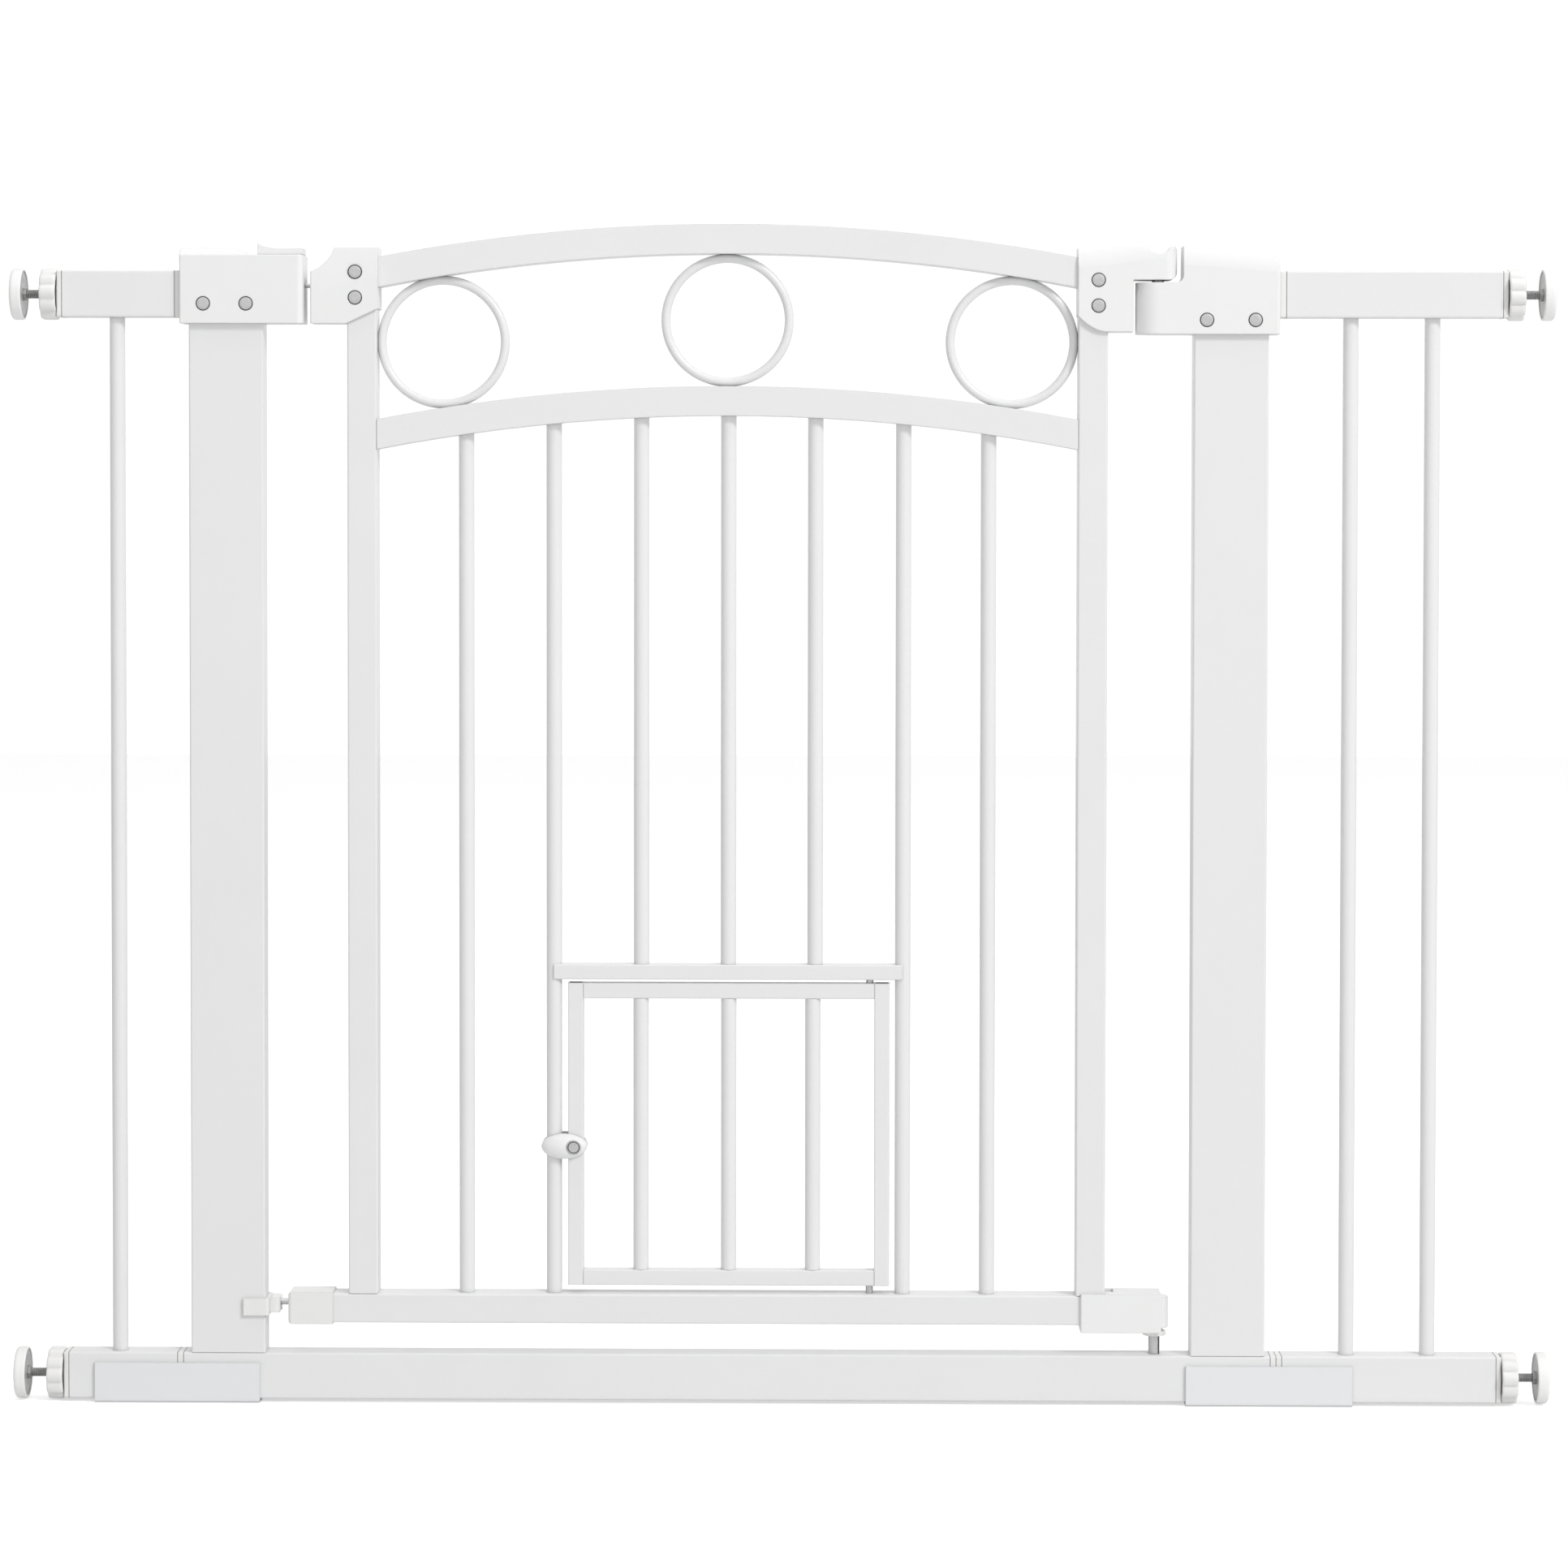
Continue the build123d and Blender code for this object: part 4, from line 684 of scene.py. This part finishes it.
for corner in corners:
    outward = -1 if corner.endswith("left") else 1
    low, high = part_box("hand_wheel_" + corner)
    centre = (low + high) / 2
    turn = turnedOut(centre, outward)
    half = (high.x - low.x) / 2 / mm
    rim = (high.z - low.z) / 2 / mm
    dish, lip = wheel["dish"], wheel["lip"]
    webIn, webOut = wheel["web"]
    profile = [(-half, wheel["bore"]), (-half, wheel["hub"]), (-half + dish, webIn),
               (-half + dish, webOut), (-half, wheel["rimInside"]), (-half, rim - lip),
               (-half + 0.12, rim - 0.62 * lip), (-half + 0.38, rim - 0.3 * lip),
               (-half + 0.7, rim - 0.1), (-half + lip + 0.2, rim)]
    profile += [(-half + lip + 0.2 + i * (half - lip - 0.2) / 3, rim) for i in (1, 2)]
    profile += [(0, rim)] + [(-x, r) for x, r in reversed(profile)]
    start = meshFrom("wheelBlank", lambda made: lathe(made, profile, wheel["segments"], turn, ring=True))
    piece = grow("handWheel." + corner, start, scallopTree, {
        "Centre": centre, "Lobes": wheel["lobes"], "Phase": wheel["phase"][corner],
        "Depth": wheel["cuspDepth"], "Radius": rim * mm, "Material": finishes["ivory_plastic"]})
    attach(piece, "wheel_" + corner)
    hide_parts("hand_wheel_" + corner)

    # threaded rod with its hexagonal collar and the disc pressed into the pad
    low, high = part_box("spindle_" + corner)
    discOuter = high.x if outward > 0 else low.x
    inner = low.x if outward > 0 else high.x
    length = abs(discOuter - inner) / mm - screw["discThickness"] - 0.2
    middle = Vector((inner + outward * length * mm / 2, 0, centre.z))
    rows = int(length / screw["pitch"] * screw["rowsPerTurn"])
    side = [(-length / 2 + length * i / rows, screw["radius"]) for i in range(rows + 1)]
    rod = [(-length / 2, 0), *side, (length / 2, 0)]
    turn = turnedOut(middle, outward)
    start = meshFrom("rodBlank", lambda made: lathe(made, rod, screw["segments"], turn))
    thread = grow("spindleThread." + corner, start, threadTree, {
        "Centre": middle, "Pitch": screw["pitch"] * mm, "Depth": screw["depth"] * mm,
        "Length": length * mm, "Material": threadSteel})
    discFace = turnedOut((discOuter, 0, centre.z), outward)
    t, r, grooveDeep = screw["discThickness"], screw["disc"], screw["grooveDepth"]
    grooveOut, grooveIn = screw["discGroove"]
    disc = meshFrom("discBlank", lambda made: lathe(made, [
        (0, 0), (0, r - 0.3), (-0.1, r - 0.1), (-0.3, r), (-t + 0.3, r), (-t + 0.1, r - 0.1),
        (-t, r - 0.4),
        (-t, grooveOut), (-t + grooveDeep, grooveOut - 0.3), (-t + grooveDeep, grooveIn + 0.3),
        (-t, grooveIn), (-t, 0)], 96, discFace))
    hexagon = meshFrom("collarBlank", lambda made: lathe(made, [
        (-t + 0.2, 0), (-t + 0.2, screw["collar"]), (-t - 0.3, screw["collar"]),
        (-t - screw["collarLength"] + 0.35, screw["collar"]),
        (-t - screw["collarLength"], screw["collar"] - 0.5), (-t - screw["collarLength"], 0)],
        screw["collarSides"], discFace))
    hexagon.set_sharp_from_angle(angle=math.radians(20))
    discPiece = linkPiece("spindleDisc." + corner, disc)
    collarPiece = linkPiece("spindleCollar." + corner, hexagon)
    disc.materials.append(finishes["rivet_grey"])
    hexagon.materials.append(threadSteel)
    for piece in (thread, discPiece, collarPiece):
        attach(piece, "foot_" + corner)
    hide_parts("spindle_" + corner)

    # rubber cup, knurled round its rim
    low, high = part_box("pad_" + corner)
    face = high.x if outward > 0 else low.x
    deep = (high.x - low.x) / mm
    turn = turnedOut((face, 0, centre.z), outward)
    r, seat = cup["radius"], screw["disc"] + cup["discGap"]
    outline = [(0, 0), (0, 6.0), (0, 10.5), (-0.05, r - 2.4), (-0.25, r - 1.4), (-0.7, r - 0.7),
               (-1.3, r - 0.22), (-2.0, r)]
    outline += [(-2.0 - i * (deep - 2.8) / cup["wallRows"], r) for i in range(1, cup["wallRows"] + 1)]
    outline += [(-deep + 0.4, r - 0.12), (-deep + 0.12, r - 0.4), (-deep, r - 0.8),
                (-deep, cup["recess"] + 0.3),
                (-deep + 0.25, cup["recess"]), (-deep + 0.55, cup["recess"]), (-deep + 0.6, seat),
                (-deep + cup["floor"], seat), (-deep + cup["floor"], 0)]
    start = meshFrom("padBlank", lambda made: lathe(made, outline, cup["segments"], turn))
    pad = grow("wallPad." + corner, start, knurlTree, {
        "Centre": Vector((face, 0, centre.z)), "Ridges": cup["ridges"], "Slant": cup["slant"] * outward,
        "Depth": cup["depth"], "Radius": r * mm, "Material": finishes["white_rubber"]})
    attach(pad, "foot_" + corner)
    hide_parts("pad_" + corner)
print("wheels, spindles and pads made")

# painted shade: dark bands for the shade in the joints between the tubes and their plugs
joint = {"width": 0.5, "proud": 0.03, "corner": 1.2, "steps": 5, "deep": 0.6}


def jointBand(made):
    # rounded frame as wide as the tube, one joint line thick
    low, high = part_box("left_upper_tube")
    rows = []
    for side, inset in ((-1, 0), (1, 0), (1, joint["deep"]), (-1, joint["deep"])):
        across = (high.y - low.y) / 2 / mm + joint["proud"] - inset
        tall = (high.z - low.z) / 2 / mm + joint["proud"] - inset
        bend, points = max(joint["corner"] - inset, 0.3), []
        for quarter in range(4):
            start = math.pi / 2 * quarter
            cx = (tall - bend) * (1 if quarter in (0, 3) else -1)
            cz = (across - bend) * (1 if quarter in (0, 1) else -1)
            for i in range(joint["steps"]):
                a = start + math.pi / 2 * i / (joint["steps"] - 1)
                points.append(made.verts.new(Vector((cx + bend * math.cos(a), cz + bend * math.sin(a),
                                                     side * joint["width"] / 2)) * mm))
        rows.append(points)
    for a, b in zip(rows, rows[1:] + rows[:1]):
        for i in range(len(a)):
            j = (i + 1) % len(a)
            made.faces.new((a[i], a[j], b[j], b[i]))


bandTemplate = template("jointBand", jointBand)
bandSpots = []
for tube in ("left_upper_tube", "left_lower_tube", "right_upper_tube", "right_lower_tube", "base_rail"):
    low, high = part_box(tube)
    for side in (-1, 1):
        bandSpots.append(((low.x if side < 0 else high.x, 0, (low.z + high.z) / 2), (1, 0, 0)))
lines = scatter("tubeJointLines", bandSpots, bandTemplate, jointShade)
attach(lines, "frame")
print("tube joints lined")

# button of the turn latch
button = {"seat": 4.7, "disc": 3.35, "groove": 0.55, "grooveWidth": 0.55, "axle": 2.4, "segments": 48}
low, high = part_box("turn_latch_axle")
centre = (low + high) / 2
reach = (high.y - low.y) / 2 / mm
ends = [(reach - 0.02, 0), (reach - 0.02, button["disc"] - 0.15), (reach - 0.14, button["disc"]),
        (reach - button["groove"], button["disc"]),
        (reach - button["groove"], button["disc"] + button["grooveWidth"]),
        (reach - 0.12, button["disc"] + 0.6), (reach - 0.08, button["seat"] - 0.25),
        (reach - 0.25, button["seat"]), (reach - 1.2, button["seat"]), (reach - 1.2, button["axle"])]
axleProfile = ends + [(-along, radius) for along, radius in reversed(ends)]
alongY = Matrix.Translation(centre) @ Matrix.Rotation(math.radians(90), 4, "Z")
axleMesh = meshFrom("turnLatchAxle", lambda made: lathe(made, axleProfile, button["segments"], alongY))
axle = linkPiece("turnLatchAxle", axleMesh)
axleMesh.materials.append(finishes["rivet_grey"])
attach(axle, "turn_latch")
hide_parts("turn_latch_axle")
# painted shade: a dark ring laid in the groove round the button as its shade
grooveShadeTemplate = template("buttonGroove", lambda made: lathe(made, [
    (-0.55, button["disc"] + 0.02), (-0.30, button["disc"] + 0.02), (-0.30, button["disc"] + 0.53),
    (-0.55, button["disc"] + 0.53)], button["segments"], alongZ, ring=True))
buttonSpots = [((centre.x, centre.y + side * reach * mm, centre.z), (0, side, 0)) for side in (-1, 1)]
grooveShadeRings = scatter("turnLatchGrooves", buttonSpots, grooveShadeTemplate, gapShade)
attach(grooveShadeRings, "turn_latch")
print("turn latch button made")


# grip dots in the thumb slider's hollow
grip = {"columns": 7, "rows": 6, "pitch": 2.3, "radius": 0.55, "height": 0.32, "fromLeft": 5.5}


def makeGripTree():
    # a grid of points dropped on the slider, each with a dot turned to the surface
    tree, given, made = newGroup("gripDots", "GeometryNodeTree",
                                 [("Geometry", "Geometry"), ("Surface", "Object"), ("Dot", "Object"),
                                  ("Material", "Material")],
                                 [("Geometry", "Geometry")])
    surface = put(tree, "GeometryNodeObjectInfo", -600, 300)
    dot = put(tree, "GeometryNodeObjectInfo", -200, 300)
    tree.links.new(given.outputs["Surface"], surface.inputs["Object"])
    tree.links.new(given.outputs["Dot"], dot.inputs["Object"])
    drop = put(tree, "GeometryNodeRaycast", -400, 0)
    drop.inputs["Ray Direction"].default_value = (0, 0, -1)
    drop.inputs["Ray Length"].default_value = 0.05
    tree.links.new(surface.outputs["Geometry"], drop.inputs["Target Geometry"])
    spots = put(tree, "GeometryNodeMeshToPoints", -400, 150)
    tree.links.new(given.outputs["Geometry"], spots.inputs["Mesh"])
    settle = put(tree, "GeometryNodeSetPosition", -150, 100)
    tree.links.new(drop.outputs["Hit Position"], settle.inputs["Position"])
    keepHits = put(tree, "GeometryNodeCaptureAttribute", -280, 150)
    turn = put(tree, "FunctionNodeAlignRotationToVector", 0, -200, axis="Z")
    keepHits.capture_items.new("VECTOR", "Lean")
    tree.links.new(spots.outputs[0], keepHits.inputs["Geometry"])
    tree.links.new(drop.outputs["Hit Normal"], keepHits.inputs[1])
    tree.links.new(keepHits.outputs["Geometry"], settle.inputs["Geometry"])
    tree.links.new(keepHits.outputs[1], turn.inputs["Vector"])
    place = put(tree, "GeometryNodeInstanceOnPoints", 200, 100)
    tree.links.new(settle.outputs[0], place.inputs["Points"])
    tree.links.new(dot.outputs["Geometry"], place.inputs["Instance"])
    tree.links.new(turn.outputs["Rotation"], place.inputs["Rotation"])
    finishTree(tree, place.outputs[0], given, made)
    return tree


low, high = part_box("latch_slider")
dotTemplate = template("gripDot", lambda made: lathe(made, [
    (-0.1, 0), (-0.1, grip["radius"]), (0.08, grip["radius"]), (0.2, grip["radius"] * 0.8),
    (0.28, grip["radius"] * 0.45), (grip["height"], 0)], 10, alongZ))
dotMesh = bpy.data.meshes.new("gripSpots")
dotMesh.from_pydata([(low.x + (grip["fromLeft"] + i * grip["pitch"] + (j % 2) * grip["pitch"] / 2) * mm,
                      (j - (grip["rows"] - 1) / 2) * grip["pitch"] * mm, high.z + 0.005)
                     for i in range(grip["columns"]) for j in range(grip["rows"])], [], [])
dots = grow("sliderGripDots", dotMesh, makeGripTree(),
            {"Surface": nodes["latch_slider"], "Dot": dotTemplate, "Material": finishes["white_plastic"]})
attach(dots, "slider")
for spare in (headTemplate, gapShadeRingTemplate, bandTemplate, grooveShadeTemplate, dotTemplate):
    bpy.data.objects.remove(spare)
print("grip dots set")

# spring of the bolt, carried by the slider
low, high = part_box("latch_spring")
springMesh = meshFrom("boltSpring", lambda made: made.from_mesh(nodes["latch_spring"].data))
springMesh.materials.clear()
springMesh.materials.append(finishes["zinc_steel"])
spring = linkPiece("boltSpring", springMesh)
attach(spring, "slider")
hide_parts("latch_spring")
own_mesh(spring)
print("bolt spring set")

# room, light and camera
studio = {"floorSize": 14.0, "floorColour": (0.84, 0.84, 0.84), "floorGlow": 0.04, "floorSeen": 0.52,
          "skyStrength": 0.44, "backdropStrength": 1.05, "keyEnergy": 222.0, "keySize": 2.0,
          "keyPlace": (3.9, -4.5, 4.5),
          "topEnergy": 31.0, "topSize": 3.0, "topPlace": (0.2, -0.3, 3.4), "fillEnergy": 5.0,
          "fillSize": 2.0, "fillPlace": (-0.9, -3.4, 1.3)}


def makeFloor(made):
    half = studio["floorSize"] / 2
    made.faces.new([made.verts.new((x * half, y * half, -0.0002)) for x,
                    y in ((-1, -1), (1, -1), (1, 1), (-1, 1))])


floor = linkPiece("studioFloor", meshFrom("studioFloor", makeFloor))
if floor.data.polygons[0].normal.z < 0:
    floor.data.flip_normals()
floorMaterial = bpy.data.materials.new("paleFloor")
floorMaterial.use_nodes = True
floorShader = floorMaterial.node_tree.nodes["Principled BSDF"]
floorShader.inputs["Base Color"].default_value = (*studio["floorColour"], 1)
floorShader.inputs["Roughness"].default_value = 0.9
floorShader.inputs["Emission Color"].default_value = (1, 1, 1, 1)
toCamera = put(floorMaterial.node_tree, "ShaderNodeLightPath", -800, 0)
glow = put(floorMaterial.node_tree, "ShaderNodeMapRange", -300, 0)
glow.inputs["To Min"].default_value = studio["floorGlow"]
glow.inputs["To Max"].default_value = studio["floorSeen"]
floorMaterial.node_tree.links.new(toCamera.outputs["Is Camera Ray"], glow.inputs["Value"])
floorMaterial.node_tree.links.new(glow.outputs[0], floorShader.inputs["Emission Strength"])
floor.data.materials.append(floorMaterial)

sky = bpy.data.worlds.new("softRoom")
bpy.context.scene.world = sky
sky.use_nodes = True
skyTree = sky.node_tree
skyTree.nodes.clear()
roomLight = put(skyTree, "ShaderNodeBackground", 0, 0)
roomLight.inputs["Strength"].default_value = studio["skyStrength"]
backdrop = put(skyTree, "ShaderNodeBackground", 0, -150)
backdrop.inputs["Strength"].default_value = studio["backdropStrength"]
for node in (roomLight, backdrop):
    node.inputs["Color"].default_value = (1, 1, 1, 1)
seen = put(skyTree, "ShaderNodeLightPath", -200, 200)
mixed = put(skyTree, "ShaderNodeMixShader", 200, 0)
skyOut = put(skyTree, "ShaderNodeOutputWorld", 400, 0)
# the camera and the gloss see the bright room, everything else is lit by the softer sky
bright = math2(skyTree, "MAXIMUM", 0, 200, seen.outputs["Is Camera Ray"], seen.outputs["Is Glossy Ray"])
skyTree.links.new(bright, mixed.inputs[0])
skyTree.links.new(roomLight.outputs[0], mixed.inputs[1])
skyTree.links.new(backdrop.outputs[0], mixed.inputs[2])
skyTree.links.new(mixed.outputs[0], skyOut.inputs["Surface"])

low, high = cadBox
middle = (low + high) / 2


def softLight(name, place, energy, size):
    lamp = bpy.data.lights.new(name, "AREA")
    lamp.energy, lamp.size, lamp.shape = energy, size, "DISK"
    light = bpy.data.objects.new(name, lamp)
    light.location = place
    light.rotation_euler = (middle - Vector(place)).to_track_quat("-Z", "Y").to_euler()
    bpy.context.scene.collection.objects.link(light)


softLight("keyLight", studio["keyPlace"], studio["keyEnergy"], studio["keySize"])
softLight("topLight", studio["topPlace"], studio["topEnergy"], studio["topSize"])
softLight("fillLight", studio["fillPlace"], studio["fillEnergy"], studio["fillSize"])

shot = {"place": (0.0404, -2.9072, 0.5941), "turn": 0.76, "tilt": 1.80, "roll": 0.072, "lens": 103.43,
        "shiftY": -0.10}
lens = bpy.data.cameras.new("shopCamera")
lens.lens, lens.sensor_width, lens.shift_y = shot["lens"], 36.0, shot["shiftY"]
lens.clip_start, lens.clip_end = 0.05, 60.0
camera = bpy.data.objects.new("shopCamera", lens)
camera.matrix_world = (Matrix.Translation(shot["place"])
                       @ Matrix.Rotation(math.radians(shot["turn"]), 4, "Z")
                       @ Matrix.Rotation(math.radians(90 - shot["tilt"]), 4, "X")
                       @ Matrix.Rotation(math.radians(shot["roll"]), 4, "Z"))
bpy.context.scene.collection.objects.link(camera)
bpy.context.scene.camera = camera
bpy.context.scene.view_settings.view_transform = "Standard"
print("room, light and camera ready")

bpy.context.view_layer.update()
